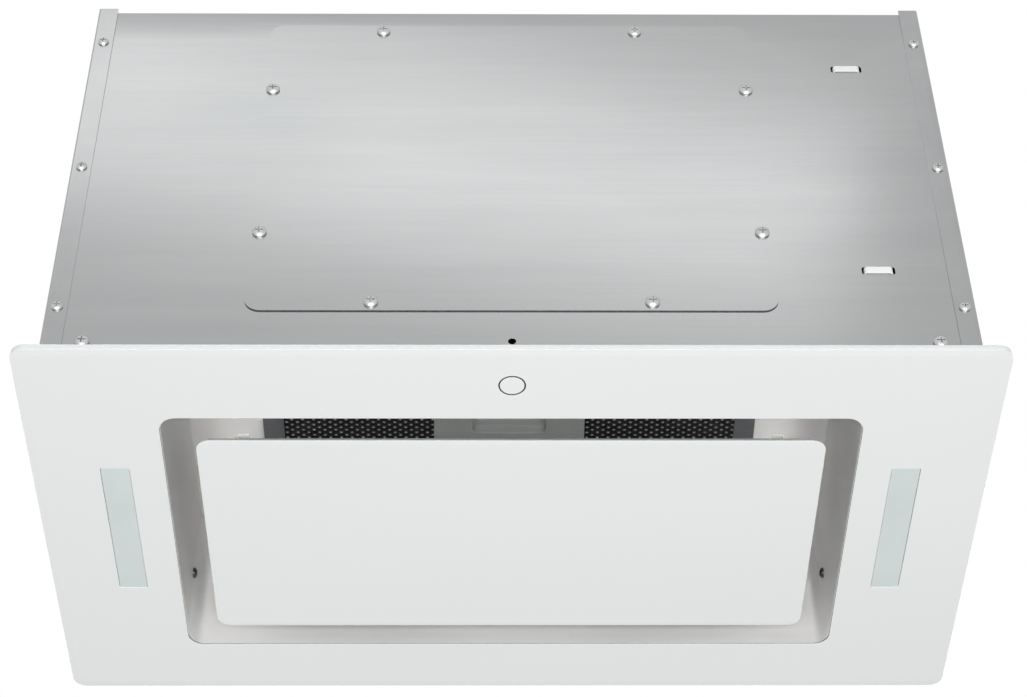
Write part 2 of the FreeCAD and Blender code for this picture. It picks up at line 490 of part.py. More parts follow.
def front_panel():
    panel = end_panel()
    panel = panel.cut(rounded(V(0, PANEL_FACE - 5, PLATE_CENTRE_Z), PORT_WIDTH, PORT_DEPTH, PORT_CORNER,
                              Y * 20, X, Z))
    panel = drilled(panel, blind_screw_points(PANEL_FACE), LARGE_SHANK + HOLE_PLAY, Y)
    panel = drilled(panel, [V(0, PANEL_FACE, EARTH_HOLE_Z)], EARTH_HOLE_RADIUS, Y)
    for height in TIE_HEIGHTS:
        for side in (-1, 1):
            centre = V(TIE_X + side * TIE_SLOT_PITCH / 2, PANEL_FACE - 5, height)
            panel = panel.cut(rounded(centre, TIE_SLOT_WIDTH, TIE_SLOT_HEIGHT, TIE_SLOT_CORNER, Y * 20, X, Z))
    return panel


def rear_panel():
    return end_panel().mirror(V(0, 0, 0), Y)


def side_panel():
    """Right side panel: a sheet with its front and rear edges folded over the end panels."""
    outer = rounded(V(0, 0, DECK), BODY_WIDTH, BODY_DEPTH, BEND_RADIUS, Z * (SIDE_TOP - DECK))
    inner = rounded(V(0, 0, DECK - 1), BODY_WIDTH - 2 * SHEET, BODY_DEPTH - 2 * SHEET, BEND_RADIUS - SHEET,
                    Z * (SIDE_TOP - DECK + 2))
    reach = BODY_WIDTH / 2
    panel = outer.cut(inner).common(box(reach - FLANGE_WIDTH, reach + 1, -reach, reach, 0, SIDE_TOP + 1))
    for y in (BODY_FRONT, -BODY_FRONT):
        panel = drilled(panel, flange_screw_points(y), SMALL_SHANK + HOLE_PLAY, Y)
    holes = [V(BODY_WIDTH / 2, side * CABINET_HOLE_Y, CABINET_HOLE_Z) for side in (-1, 1)]
    return drilled(panel, holes, CABINET_HOLE, X)


def top_panel():
    depth = -PANEL_INNER
    sheet = box(-SIDE_INNER, SIDE_INNER, -depth, depth, TOP_SHEET_Z, TOP_SHEET_Z + SHEET)
    fold = box(SIDE_INNER - SHEET, SIDE_INNER, -depth + TOP_FOLD, depth - TOP_FOLD,
               TOP_SHEET_Z - TOP_FOLD, TOP_SHEET_Z)
    panel = joined([sheet, fold, mirrored(fold)])
    panel = panel.cut(plate(PORT_WIDTH, PORT_DEPTH, PORT_CORNER, TOP_SHEET_Z - 5, BODY_TOP + 5))
    panel = drilled(panel, outlet_screw_points(TOP_SHEET_Z), LARGE_SHANK + HOLE_PLAY, Z)
    rods = [V(sx * ROD_X, sy * ROD_Y, TOP_SHEET_Z) for sx in (-1, 1) for sy in (-1, 1)]
    panel = drilled(panel, rods, ROD_HOLE, Z)
    return drilled(panel, [V(GLAND_X, GLAND_Y, TOP_SHEET_Z)], GLAND_RADIUS + TOUCH, Z)


def blind_plate():
    cover = rounded(V(0, BODY_FRONT, PLATE_CENTRE_Z), PLATE_WIDTH, PLATE_DEPTH, PLATE_CORNER, Y * SHEET, X, Z)
    return drilled(cover, blind_screw_points(BODY_FRONT), LARGE_SHANK + HOLE_PLAY, Y)


def outlet_plate():
    cover = plate(PLATE_WIDTH, PLATE_DEPTH, PLATE_CORNER, BODY_TOP - SHEET, BODY_TOP)
    cover = cover.cut(cylinder(COLLAR_INNER, V(0, 0, BODY_TOP - 5), Z * 10))
    return drilled(cover, outlet_screw_points(BODY_TOP), LARGE_SHANK + HOLE_PLAY, Z)


def blind_plate_screws():
    return group([pan_screw(at, -Y, LARGE_SCREW) for at in blind_screw_points(BODY_FRONT)])


def outlet_plate_screws():
    return group([pan_screw(at, Z, LARGE_SCREW) for at in outlet_screw_points(BODY_TOP)])


def flange_screws():
    front = [pan_screw(at, -Y, SMALL_SCREW) for at in flange_screw_points(BODY_FRONT)]
    return group(front + [pan_screw(at, Y, SMALL_SCREW) for at in flange_screw_points(-BODY_FRONT)])


def corner_screws():
    front = [pan_screw(at, -Y, LARGE_SCREW) for at in corner_screw_points(PANEL_FACE)]
    return group(front + [pan_screw(at, Y, LARGE_SCREW) for at in corner_screw_points(-PANEL_FACE)])


# ---- duct collar and backdraft flaps -----------------------------------------------------------------
def duct_collar():
    wall = tube(COLLAR_RADIUS, COLLAR_INNER, V(0, 0, COLLAR_BASE), Z * COLLAR_HEIGHT)
    flange = tube(COLLAR_RADIUS + COLLAR_FLANGE, COLLAR_INNER, V(0, 0, COLLAR_BASE), Z * SHEET)
    stop = tube(COLLAR_RADIUS - SHEET / 2, COLLAR_INNER - STOP_WIDTH,
                V(0, 0, COLLAR_BASE + STOP_HEIGHT - STOP_THICK), Z * STOP_THICK)
    collar = joined([wall, flange, stop])
    for side in (-1, 1):
        start = V(-2 * COLLAR_RADIUS, side * FLAP_PIN_Y, FLAP_PIN_Z)
        collar = collar.cut(cylinder(FLAP_PIN_RADIUS + 0.01, start, X * (4 * COLLAR_RADIUS)))
    return collar


def flap_pins():
    half = math.sqrt(COLLAR_RADIUS ** 2 - (FLAP_PIN_Y + FLAP_PIN_RADIUS) ** 2) - 0.1
    return group([cylinder(FLAP_PIN_RADIUS, V(-half, side * FLAP_PIN_Y, FLAP_PIN_Z), X * (2 * half))
                  for side in (-1, 1)])


def flap_front():
    radius = COLLAR_INNER - FLAP_CLEAR
    disc = cylinder(radius, V(0, 0, FLAP_Z), Z * FLAP_THICK)
    half = disc.common(box(-radius, radius, -radius, -FLAP_PIN_Y, FLAP_Z - 1, FLAP_Z + FLAP_THICK + 1))
    start = V(-KNUCKLE_HALF, -FLAP_PIN_Y, FLAP_PIN_Z)
    knuckle = cylinder(KNUCKLE_RADIUS, start, X * (2 * KNUCKLE_HALF))
    flap = joined([half, knuckle])
    bore = cylinder(FLAP_PIN_RADIUS + RUNNING_FIT, start - X * COLLAR_RADIUS, X * (4 * COLLAR_RADIUS))
    return flap.cut(bore)


def flap_rear():
    return flap_front().mirror(V(0, 0, 0), Y)


# ---- blower ------------------------------------------------------------------------------------------
def scroll_outline(grow, top):
    """Outline of the blower housing in the YZ plane, swelled by grow, as a face at X = 0."""
    r1, r2, r3 = (SCROLL_RADIUS + grow + step * SCROLL_GROWTH for step in (0, 1, 2))
    c1, c2, c3 = (V(0, SCROLL_Y, SCROLL_Z), V(0, SCROLL_Y + SCROLL_GROWTH, SCROLL_Z),
                  V(0, SCROLL_Y + SCROLL_GROWTH, SCROLL_Z + SCROLL_GROWTH))

    def on(centre, radius, degrees):
        angle = math.radians(degrees)
        return centre + Y * (radius * math.cos(angle)) + Z * (radius * math.sin(angle))

    tongue = on(c1, r1, TONGUE_ANGLE)
    rear = on(c3, r3, 360)
    edges = [Part.LineSegment(V(0, tongue.y, top), tongue),
             Part.Arc(tongue, on(c1, r1, (TONGUE_ANGLE + 180) / 2), on(c1, r1, 180)),
             Part.Arc(on(c2, r2, 180), on(c2, r2, 225), on(c2, r2, 270)),
             Part.Arc(on(c3, r3, 270), on(c3, r3, 315), rear),
             Part.LineSegment(rear, V(0, rear.y, top)),
             Part.LineSegment(V(0, rear.y, top), V(0, tongue.y, top))]
    return Part.Face(Part.Wire([edge.toShape() for edge in edges]))


def scroll_block(grow, half, top):
    block = scroll_outline(grow, top).extrude(X * (2 * half))
    block.translate(X * -half)
    return block


def blower_scroll():
    top = BODY_TOP - SHEET
    band = scroll_block(0, BLOWER_HALF, top).cut(scroll_block(-BLOWER_SHEET, BLOWER_HALF + 5, top + 5))
    front = SCROLL_Y + SCROLL_RADIUS * math.cos(math.radians(TONGUE_ANGLE))
    back = SCROLL_Y + 3 * SCROLL_GROWTH + SCROLL_RADIUS
    flange = box(-BLOWER_HALF, BLOWER_HALF, front - BLOWER_FLANGE, back + BLOWER_FLANGE,
                 top - BLOWER_SHEET, top)
    hole = box(-BLOWER_HALF - 1, BLOWER_HALF + 1, front + BLOWER_SHEET, back - BLOWER_SHEET,
               top - 2 * BLOWER_SHEET, top + 1)
    return joined([band, flange]).cut(hole)


def blower_cheek():
    """Right-hand cheek of the blower, with its inlet mouth."""
    top = BODY_TOP - SHEET
    cheek = scroll_outline(CHEEK_LAP, top).extrude(X * BLOWER_SHEET)
    cheek.translate(X * BLOWER_HALF)
    axis = V(BLOWER_HALF, WHEEL_Y, WHEEL_Z)
    cheek = cheek.cut(cylinder(INLET_RADIUS, axis - X * 5, X * 10))
    lip = tube(INLET_RADIUS, INLET_RADIUS - BLOWER_SHEET, axis - X * INLET_LIP,
               X * (INLET_LIP + BLOWER_SHEET))
    return joined([cheek, lip])


def impeller():
    axis = V(0, WHEEL_Y, WHEEL_Z)
    half, rim = BLOWER_HALF - WHEEL_END_GAP, 2 * BLADE_THICK
    hub = cylinder(HUB_RADIUS, axis - X * HUB_BACK, X * (HUB_BACK + HUB_FRONT))
    disc = cylinder(WHEEL_RADIUS - BLADE_THICK, axis - X * DISC_THICK / 2, X * DISC_THICK)
    rings = [tube(WHEEL_RADIUS, WHEEL_RADIUS - WHEEL_RING, axis + X * place, X * rim)
             for place in (-half, half - rim)]
    pieces = [hub, disc] + rings
    reach = half - BLADE_THICK / 2
    blade = box(-reach, reach, -BLADE_THICK / 2, BLADE_THICK / 2, WHEEL_RADIUS - BLADE_DEPTH,
                WHEEL_RADIUS - 0.8 * BLADE_THICK)
    blade.rotate(V(0, 0, WHEEL_RADIUS - BLADE_DEPTH / 2), X, BLADE_PITCH)
    for index in range(BLADES):
        copy = blade.copy()
        copy.rotate(V(0, 0, 0), X, 360.0 * index / BLADES)
        copy.translate(axis)
        pieces.append(copy)
    wheel = joined(pieces)
    return wheel.cut(cylinder(SHAFT_RADIUS, axis - X * BLOWER_HALF, X * (2 * BLOWER_HALF)))


def motor_shaft():
    axis = V(0, WHEEL_Y, WHEEL_Z)
    shaft = cylinder(SHAFT_RADIUS, axis - X * SHAFT_BACK, X * (SHAFT_BACK + MOTOR_FRONT + SHAFT_GRIP))
    nut = cylinder(NUT_RADIUS, axis - X * (HUB_BACK + NUT_THICK), X * NUT_THICK)
    return joined([shaft, nut])


def motor():
    axis = V(0, WHEEL_Y, WHEEL_Z)
    length = MOTOR_BACK - MOTOR_FRONT
    can = cylinder(MOTOR_RADIUS, axis + X * MOTOR_FRONT, X * length)
    boss = (MOTOR_FRONT - HUB_FRONT) * 2 / 3
    can = joined([can, cylinder(HUB_RADIUS + boss, axis + X * (MOTOR_FRONT - boss), X * (2 * boss))])
    return can.cut(cylinder(SHAFT_RADIUS + RUNNING_FIT, axis, X * (MOTOR_FRONT + SHAFT_GRIP + boss * 2)))


def bush_points(x):
    spots = []
    for degrees in (90, 210, 330):
        angle = math.radians(degrees)
        spots.append(V(x, WHEEL_Y + BUSH_CIRCLE * math.cos(angle), WHEEL_Z + BUSH_CIRCLE * math.sin(angle)))
    return spots


def motor_bracket():
    x = BLOWER_HALF + BLOWER_SHEET + BUSH_HEIGHT
    axis = V(x, WHEEL_Y, WHEEL_Z)
    sheet = X * MOTOR_SHEET
    pieces = [cylinder(MOTOR_RADIUS + BRACKET_RING, axis, sheet)]
    middle = V(x, 0, (BUSH_CIRCLE + MOTOR_RADIUS) / 2)
    arm = rounded(middle, BRACKET_ARM, BUSH_CIRCLE - MOTOR_RADIUS + BRACKET_ARM, BUSH_RADIUS / 2, sheet, Y, Z)
    for degrees in (0, 120, 240):
        copy = arm.copy()
        copy.rotate(V(0, 0, 0), X, degrees)
        copy.translate(V(0, WHEEL_Y, WHEEL_Z))
        pieces.append(copy)
    bracket = joined(pieces)
    bracket = bracket.cut(cylinder(MOTOR_RADIUS + TOUCH, axis - X * 5, X * 10))
    return drilled(bracket, bush_points(x), BUSH_BORE, X)


def motor_bushes():
    start = BLOWER_HALF + BLOWER_SHEET
    return group([tube(BUSH_RADIUS, BUSH_BORE, at, X * BUSH_HEIGHT) for at in bush_points(start)])


def capacitor():
    """Run capacitor, held to the top panel by its clip."""
    can = cylinder(CAPACITOR_RADIUS, V(CAPACITOR_X, CAPACITOR_FRONT, CAPACITOR_Z), Y * CAPACITOR_LENGTH)
    clip_front = CAPACITOR_FRONT + CLIP_DEPTH
    half = CLIP_WIDTH / 2
    clip = box(CAPACITOR_X - half, CAPACITOR_X + half, clip_front, clip_front + CLIP_DEPTH,
               CAPACITOR_Z, TOP_SHEET_Z)
    return joined([can, clip])


# ---- controls and wiring -------------------------------------------------------------------------------
def control_box():
    outer = box(CONTROL_LEFT, SIDE_INNER, CONTROL_FRONT, CONTROL_BACK, CONTROL_LOW, CONTROL_TOP)
    wall = CONTROL_WALL
    return outer.cut(box(CONTROL_LEFT - 1, SIDE_INNER - wall, CONTROL_FRONT + wall, CONTROL_BACK - wall,
                         CONTROL_LOW + wall, CONTROL_TOP - wall))


def control_box_lid():
    middle = V(CONTROL_LEFT - CONTROL_WALL, (CONTROL_FRONT + CONTROL_BACK) / 2,
               (CONTROL_LOW + CONTROL_TOP) / 2)
    lid = rounded(middle, CONTROL_DEPTH, CONTROL_HEIGHT, 2.0, X * CONTROL_WALL, Y, Z)
    inset = CONTROL_WALL + PLAY
    rib = box(CONTROL_LEFT, CONTROL_LEFT + 3 * CONTROL_WALL, CONTROL_FRONT + inset,
              CONTROL_FRONT + inset + CONTROL_WALL, CONTROL_LOW + inset, CONTROL_TOP - inset)
    return joined([lid, rib])


def cable_gland():
    base = V(GLAND_X, GLAND_Y, TOP_SHEET_Z + SHEET)
    flange, dome, thread, nut = 5.0, 9.0, 9.0, 4.0
    pieces = [cylinder(GLAND_RADIUS + 3, base, Z * flange),
              cylinder(GLAND_RADIUS + 1, base + Z * flange, Z * dome),
              cylinder(GLAND_RADIUS, base - Z * thread, Z * thread),
              tube(GLAND_RADIUS + 3, GLAND_RADIUS - 1, base - Z * (SHEET + nut), Z * nut)]
    return joined(pieces).cut(cylinder(CABLE_HOLE, base - Z * (2 * thread), Z * (4 * thread)))


def harness_path():
    y = PANEL_INNER + HARNESS_RADIUS + HARNESS_CLEAR
    high, low = CONTROL_TOP - HARNESS_DROP, DECK + HARNESS_RISE
    corners = [V(TIE_X, CONTROL_FRONT, high), V(TIE_X, y, high), V(TIE_X, y, low), V(TOUCH_WIDTH / 2, y, low)]
    edges, start = [], corners[0]
    for before, corner, after in zip(corners, corners[1:], corners[2:]):
        inward, onward = (corner - before).normalize(), (after - corner).normalize()
        first, last = corner - inward * HARNESS_BEND, corner + onward * HARNESS_BEND
        middle = corner + (onward - inward) * (HARNESS_BEND * (1 - math.sqrt(0.5)))
        edges += [Part.LineSegment(start, first), Part.Arc(first, middle, last)]
        start = last
    edges.append(Part.LineSegment(start, corners[-1]))
    return Part.Wire([edge.toShape() for edge in edges]), corners[0]


def wiring_harness():
    """Wires in a sleeve, from the control box down to the touch switch."""
    path, start = harness_path()
    section = Part.Wire([Part.makeCircle(HARNESS_RADIUS, start, Y)])
    return path.makePipeShell([section], True, False)


def cable_ties():
    """Straps through the front panel's slot pairs that hold the wires."""
    front = BODY_FRONT - TIE_PROUD
    back = PANEL_INNER + HARNESS_CLEAR + 2 * HARNESS_RADIUS + TIE_BAND
    ties = []
    for height in TIE_HEIGHTS:
        centre = V(TIE_X, (front + back) / 2, height - TIE_HEIGHT / 2)
        width = TIE_SLOT_PITCH + TIE_BAND
        depth = back - front
        loop = rounded(centre, width, depth, TIE_CORNER, Z * TIE_HEIGHT)
        inside = rounded(centre - Z, width - 2 * TIE_BAND, depth - 2 * TIE_BAND, TIE_CORNER - TIE_BAND,
                         Z * (TIE_HEIGHT + 2))
        ties.append(loop.cut(inside))
    return group(ties)


# ---- edge-suction panel ----------------------------------------------------------------------------------
def panel_glass():
    glass = plate(PANEL_WIDTH, PANEL_DEPTH, PANEL_CORNER, 0, GLASS_THICK, OPENING_SHIFT)
    rim = [edge for edge in glass.Edges if edge.BoundBox.ZLength < 1e-6]
    return glass.makeChamfer(ARRIS, rim)


def panel_bond_tape():
    inset = TRAY_INSET + 2 * BOND_INSET
    width, depth = PANEL_WIDTH - 2 * inset, PANEL_DEPTH - 2 * inset
    outer = plate(width, depth, TRAY_CORNER, GLASS_THICK, GLASS_THICK + BOND_THICK, OPENING_SHIFT)
    return outer.cut(plate(width - 2 * BOND_WIDTH, depth - 2 * BOND_WIDTH, TRAY_CORNER, 0, TRAY_TOP,
                           OPENING_SHIFT))


def panel_tray():
    base, top = GLASS_THICK + BOND_THICK, TRAY_TOP + TRAY_RIM
    width, depth = PANEL_WIDTH - 2 * TRAY_INSET, PANEL_DEPTH - 2 * TRAY_INSET
    inside = TRAY_CORNER - CARRIER_SHEET
    block = plate(width, depth, TRAY_CORNER, base, top, OPENING_SHIFT)
    return block.cut(plate(width - 2 * CARRIER_SHEET, depth - 2 * CARRIER_SHEET, inside, TRAY_TOP, top + 1,
                           OPENING_SHIFT))


def panel_hinge_lugs():
    """Upright ears on the tray that hold the hinge pins."""
    inner = RAIL_X - LUG_SHEET - LUG_SHEET_GAP
    outer = inner + LUG_SHEET
    eye = cylinder(EYE_RADIUS, V(inner, HINGE_Y, HINGE_Z), X * LUG_SHEET)
    front, back = HINGE_Y - EYE_RADIUS, PANEL_BACK - TRAY_INSET - CARRIER_SHEET
    web = box(inner, outer, front, back, TRAY_TOP, HINGE_Z)
    base = box(inner - LUG_FOOT_WIDTH, outer, front - LUG_FOOT_REACH, back, TRAY_TOP, TRAY_TOP + LUG_FOOT)
    lug = joined([eye, web, base])
    return both_sides(lug.cut(cylinder(PIN_RADIUS, V(inner - 1, HINGE_Y, HINGE_Z), X * (LUG_SHEET + 2))))


def panel_hinge_pins():
    """Pins with a head inside the lug and another outside the rail."""
    start = V(RAIL_X - LUG_SHEET_GAP - LUG_SHEET - PIN_HEAD, HINGE_Y, HINGE_Z)
    length = PIN_HEAD + LUG_SHEET + LUG_SHEET_GAP + RAIL_SHEET + PLAY + PIN_CAP
    pin = joined([cylinder(PIN_RADIUS, start, X * length), cylinder(PIN_HEAD_RADIUS, start, X * PIN_HEAD),
                  cylinder(PIN_HEAD_RADIUS, start + X * (length - PIN_CAP), X * PIN_CAP)])
    return both_sides(pin)


def catch_studs():
    low = V(CATCH_X, CATCH_Y, TRAY_TOP)
    foot = cylinder(STUD_FOOT_RADIUS, low, Z * STUD_FOOT)
    stem = cylinder(STUD_RADIUS, low, Z * (BALL_RISE - STUD_FOOT))
    return both_sides(joined([foot, stem, Part.makeSphere(BALL_RADIUS, low + Z * BALL_RISE)]))


def catch_clips():
    """Spring clips at the front end of the rails; the studs press into them."""
    half, sheet, low, high = BALL_RADIUS + CATCH_PLAY, CATCH_SHEET, RAIL_LOW, RAIL_LOW + CATCH_HEIGHT
    front, back = CATCH_Y - CATCH_DEPTH / 2, CATCH_Y + CATCH_DEPTH / 2
    clip = joined([box(CATCH_X - half - sheet, CATCH_X + half + sheet, front, back, high, high + sheet),
                   box(CATCH_X - half - sheet, CATCH_X - half, front, back, low, high),
                   box(CATCH_X + half, CATCH_X + half + sheet, front, back, low, high)])
    return both_sides(clip)


def panel_rail():
    """Right-hand rail under the recess ceiling: hinge eye behind, catch in front."""
    front, turn = CATCH_Y - CATCH_DEPTH / 2, CATCH_Y + RAIL_NOSE + CATCH_SETBACK
    knee = RAIL_HIGH + RAIL_GUSSET
    outline = [(front, RAIL_LOW), (HINGE_Y, RAIL_LOW), (HINGE_Y, RAIL_HIGH), (RAIL_LEG_BACK, knee),
               (RAIL_LEG_BACK, CEILING_Z), (RAIL_LEG_FRONT, CEILING_Z), (RAIL_LEG_FRONT, knee),
               (RAIL_LEG_FRONT - RAIL_TAPER, RAIL_HIGH), (turn, RAIL_HIGH),
               (front, RAIL_LOW + RAIL_NOSE)]
    web = prism([V(RAIL_X, y, z) for y, z in outline], X * RAIL_SHEET)
    eye = cylinder(EYE_RADIUS, V(RAIL_X, HINGE_Y, HINGE_Z), X * RAIL_SHEET)
    foot = box(RAIL_X, RAIL_X + RAIL_SHEET + RAIL_FOOT, RAIL_LEG_FRONT, RAIL_LEG_BACK,
               CEILING_Z - RAIL_SHEET, CEILING_Z)
    rail = joined([web, eye, foot])
    rail = drilled(rail, [V(RAIL_X, HINGE_Y, HINGE_Z)], PIN_RADIUS + RUNNING_FIT, X)
    return drilled(rail, rail_screw_points(CEILING_Z), SMALL_SHANK + HOLE_PLAY, Z)


def rail_screws():
    return group([pan_screw(at, -Z, SMALL_SCREW) for at in rail_screw_points(CEILING_Z - RAIL_SHEET)])


# ---- grease filter ------------------------------------------------------------------------------------
def filter_frame():
    low, high = FILTER_FACE, FILTER_FACE + FILTER_THICK
    ring = plate(FILTER_WIDTH, FILTER_DEPTH, 2.0, low, high, FILTER_CENTRE_Y)
    ring = ring.cut(plate(FILTER_WIDTH - 2 * FILTER_SHEET, FILTER_DEPTH - 2 * FILTER_SHEET, 1.2,
                          low + FILTER_SHEET, high - FILTER_SHEET, FILTER_CENTRE_Y))
    ring = ring.cut(plate(FILTER_WIDTH - 2 * FILTER_BAND, FILTER_DEPTH - 2 * FILTER_BAND, 1.0,
                          low - 1, high + 1, FILTER_CENTRE_Y))
    tab_low = CEILING_Z + LINER_SHEET + PLAY
    tabs = []
    for side in (-1, 1):
        left, right = side * TAB_X - TAB_WIDTH / 2, side * TAB_X + TAB_WIDTH / 2
        tabs.append(box(left, right, FILTER_BACK - FILTER_SHEET / 2, FILTER_BACK + TAB_LENGTH, tab_low,
                        tab_low + FILTER_SHEET))
        bead = V(left, FILTER_BACK + FILTER_GAP, tab_low + FILTER_SHEET / 2)
        tabs.append(cylinder(BEAD_RADIUS, bead, X * TAB_WIDTH))
    return joined([ring] + tabs)


def pack_slab(z0, z1):
    """A slab that fills the channel of the filter frame, with a window for the grip."""
    inset = FILTER_SHEET + HOLE_PLAY
    slab = plate(FILTER_WIDTH - 2 * inset, FILTER_DEPTH - 2 * inset, 1.0, z0, z1, FILTER_CENTRE_Y)
    return slab.cut(plate(GRIP_WIDTH, GRIP_LENGTH, GRIP_CORNER, z0 - 1, z1 + 1, FILTER_CENTRE_Y))


def filter_mesh():
    low = FILTER_FACE + FILTER_SHEET
    return pack_slab(low, low + FACE_SHEET)


def filter_core():
    low = FILTER_FACE + FILTER_SHEET + FACE_SHEET
    return pack_slab(low, FILTER_FACE + FILTER_THICK - FILTER_SHEET)


def filter_middle_plate():
    cover = plate(MIDDLE_WIDTH, FILTER_DEPTH - 2 * FILTER_BAND, 0.5, FILTER_FACE, FILTER_FACE + FILTER_SHEET,
                  FILTER_CENTRE_Y)
    return cover.cut(plate(GRIP_WIDTH, GRIP_LENGTH, GRIP_CORNER, 0, CEILING_Z, FILTER_CENTRE_Y))


def filter_grip():
    low = FILTER_FACE
    cup = plate(GRIP_WIDTH, GRIP_LENGTH, GRIP_CORNER, low, low + GRIP_HEIGHT, FILTER_CENTRE_Y)
    wall = FILTER_SHEET
    return cup.cut(plate(GRIP_WIDTH - 2 * wall, GRIP_LENGTH - 2 * wall, GRIP_CORNER - wall, low - 1,
                         low + GRIP_HEIGHT - wall, FILTER_CENTRE_Y))


def filter_springs():
    """Leaf springs at the recess ceiling that hold the filter's front edge."""
    top = CEILING_Z + LINER_SHEET
    face = FILTER_FRONT - PLAY
    back = face - SPRING_SETBACK
    first, nose, end = CEILING_Z - SPRING_FIRST, CEILING_Z - SPRING_NOSE, CEILING_Z - SPRING_END
    near = [(back - SPRING_FOOT, top + SPRING_SHEET), (back + SPRING_SHEET, top + SPRING_SHEET),
            (back + SPRING_SHEET, first), (face, nose), (back + SPRING_SHEET, end)]
    far = [(back, end), (face - SPRING_SHEET, nose), (back, first), (back, top), (back - SPRING_FOOT, top)]
    outline = [V(0, y, z) for y, z in near + far]
    leaf = prism(outline, X * SPRING_WIDTH)
    leaf.translate(X * (SPRING_X - SPRING_WIDTH / 2))
    return both_sides(leaf)


# ---- every node, by name -----------------------------------------------------------------------------------
def nodes():
    made = {builder.__name__: builder() for builder in (
        glass_frame, glass_bond_tape, carrier_frame, touch_ring, touch_board, touch_cover,
        suction_liner, liner_brackets, liner_screws,
        front_panel, rear_panel, top_panel, blind_plate, outlet_plate,
        blind_plate_screws, outlet_plate_screws, flange_screws, corner_screws,
        duct_collar, flap_pins, flap_front, flap_rear,
        blower_scroll, impeller, motor_shaft, motor, motor_bracket, motor_bushes, capacitor,
        control_box, control_box_lid, cable_gland, wiring_harness, cable_ties,
        panel_glass, panel_bond_tape, panel_tray, panel_hinge_lugs, panel_hinge_pins,
        catch_studs, catch_clips, rail_screws,
        filter_frame, filter_mesh, filter_core, filter_middle_plate, filter_grip, filter_springs)}
    for builder in (lamp_lens, lamp_board, lamp_housing, side_panel, blower_cheek, panel_rail):
        right = builder()
        made[builder.__name__ + "_right"] = right
        made[builder.__name__ + "_left"] = mirrored(right)
    return made


def main():
    os.makedirs("parts", exist_ok=True)
    for name, shape in nodes().items():
        if shape.isNull() or not shape.isValid() or not shape.Solids:
            raise ValueError("unsound shape: " + name)
        shape.exportStep(os.path.join("parts", name + ".step"))
        print(name, len(shape.Solids), round(shape.Volume, 1))


main()
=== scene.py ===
"""Looks of the built-in ceiling hood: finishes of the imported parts, and finer pieces close to the eye."""
import json
import math
import bmesh
import bpy
from mathutils import Matrix, Vector


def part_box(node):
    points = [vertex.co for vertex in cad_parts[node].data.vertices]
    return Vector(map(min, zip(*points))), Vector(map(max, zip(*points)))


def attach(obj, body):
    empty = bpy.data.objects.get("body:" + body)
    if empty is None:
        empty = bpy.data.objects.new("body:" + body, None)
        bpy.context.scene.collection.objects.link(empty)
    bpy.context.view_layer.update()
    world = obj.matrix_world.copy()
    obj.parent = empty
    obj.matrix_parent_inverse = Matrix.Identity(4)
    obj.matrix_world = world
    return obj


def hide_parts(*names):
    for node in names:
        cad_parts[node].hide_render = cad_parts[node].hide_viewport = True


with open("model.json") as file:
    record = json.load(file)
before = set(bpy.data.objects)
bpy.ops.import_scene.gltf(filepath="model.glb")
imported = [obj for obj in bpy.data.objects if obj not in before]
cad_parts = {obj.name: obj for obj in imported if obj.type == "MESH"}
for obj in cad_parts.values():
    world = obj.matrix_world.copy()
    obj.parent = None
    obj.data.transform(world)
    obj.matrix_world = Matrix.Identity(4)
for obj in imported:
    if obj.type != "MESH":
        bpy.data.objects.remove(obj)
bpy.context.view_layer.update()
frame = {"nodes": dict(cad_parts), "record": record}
nodes = frame["nodes"]
bodies = frame["record"]["behaviour"]["bodies"]
node_body = {node: body for body, members in bodies.items() for node in members}

# ---- sizes in millimetres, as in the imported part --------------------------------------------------
MM = 0.001
GLASS = 4.0  # thickness of the glass, whose face lies on Z 0
PLATE = ((0, 0), 540, 300, 8)  # centre, width, depth and corner radius of the glass plate
OPENING = ((0, 5.8), 390, 203, 9.5)
CENTRE_GLASS = ((0, 5.8), 352.7, 167, 8)
LAMP_X, LAMP_Y, LAMP_WIDTH, LAMP_DEPTH, LAMP_CORNER = 223.3, -1, 16.3, 106.7, 1.5
LAMP_CLEARANCE = 0.3  # how much larger the hole in the glass is than its lamp window
FIELD_X, FIELD_Y, FIELD_WIDTH, FIELD_DEPTH, FIELD_Z = 91.75, 13.7, 91.5, 133, 95.8
HOLE_RADIUS, HOLE_STEP_X, HOLE_STEP_Y = 1.0, 3.3, 4.6  # of the perforated sheet of the filter
EDGE_EASE = 0.12  # how far sharp edges are eased, unless the list below says otherwise
OTHER_EASES = {"glass_bond_tape": 0, "panel_bond_tape": 0, "touch_ring": 0.04, "wiring_harness": 0.05,
               "filter_grip": 0.3}
WHITE = (1, 1, 1, 1)


# ---- camera: looks up at the hood from below and in front ------------------------------------------
def add_camera():
    """The photograph's viewpoint: place in millimetres, then pitch, yaw and roll in radians."""
    place = Vector((-14.34, -1081.79, -909.29)) * MM
    pitch, yaw, roll, focal = 0.7737, 0.0159, -0.0103, 85.21
    ahead = Vector((math.sin(yaw) * math.cos(pitch), math.cos(yaw) * math.cos(pitch), math.sin(pitch)))
    level = Vector((math.cos(yaw), -math.sin(yaw), 0))
    upright = level.cross(ahead)
    right = level * math.cos(roll) + upright * math.sin(roll)
    up = upright * math.cos(roll) - level * math.sin(roll)
    data = bpy.data.cameras.new("camera")
    data.sensor_width = 36
    data.lens = focal
    data.clip_end = 200
    camera = bpy.data.objects.new("camera", data)
    camera.matrix_world = Matrix.Translation(place) @ Matrix((right, up, -ahead)).transposed().to_4x4()
    bpy.context.scene.collection.objects.link(camera)
    bpy.context.scene.camera = camera


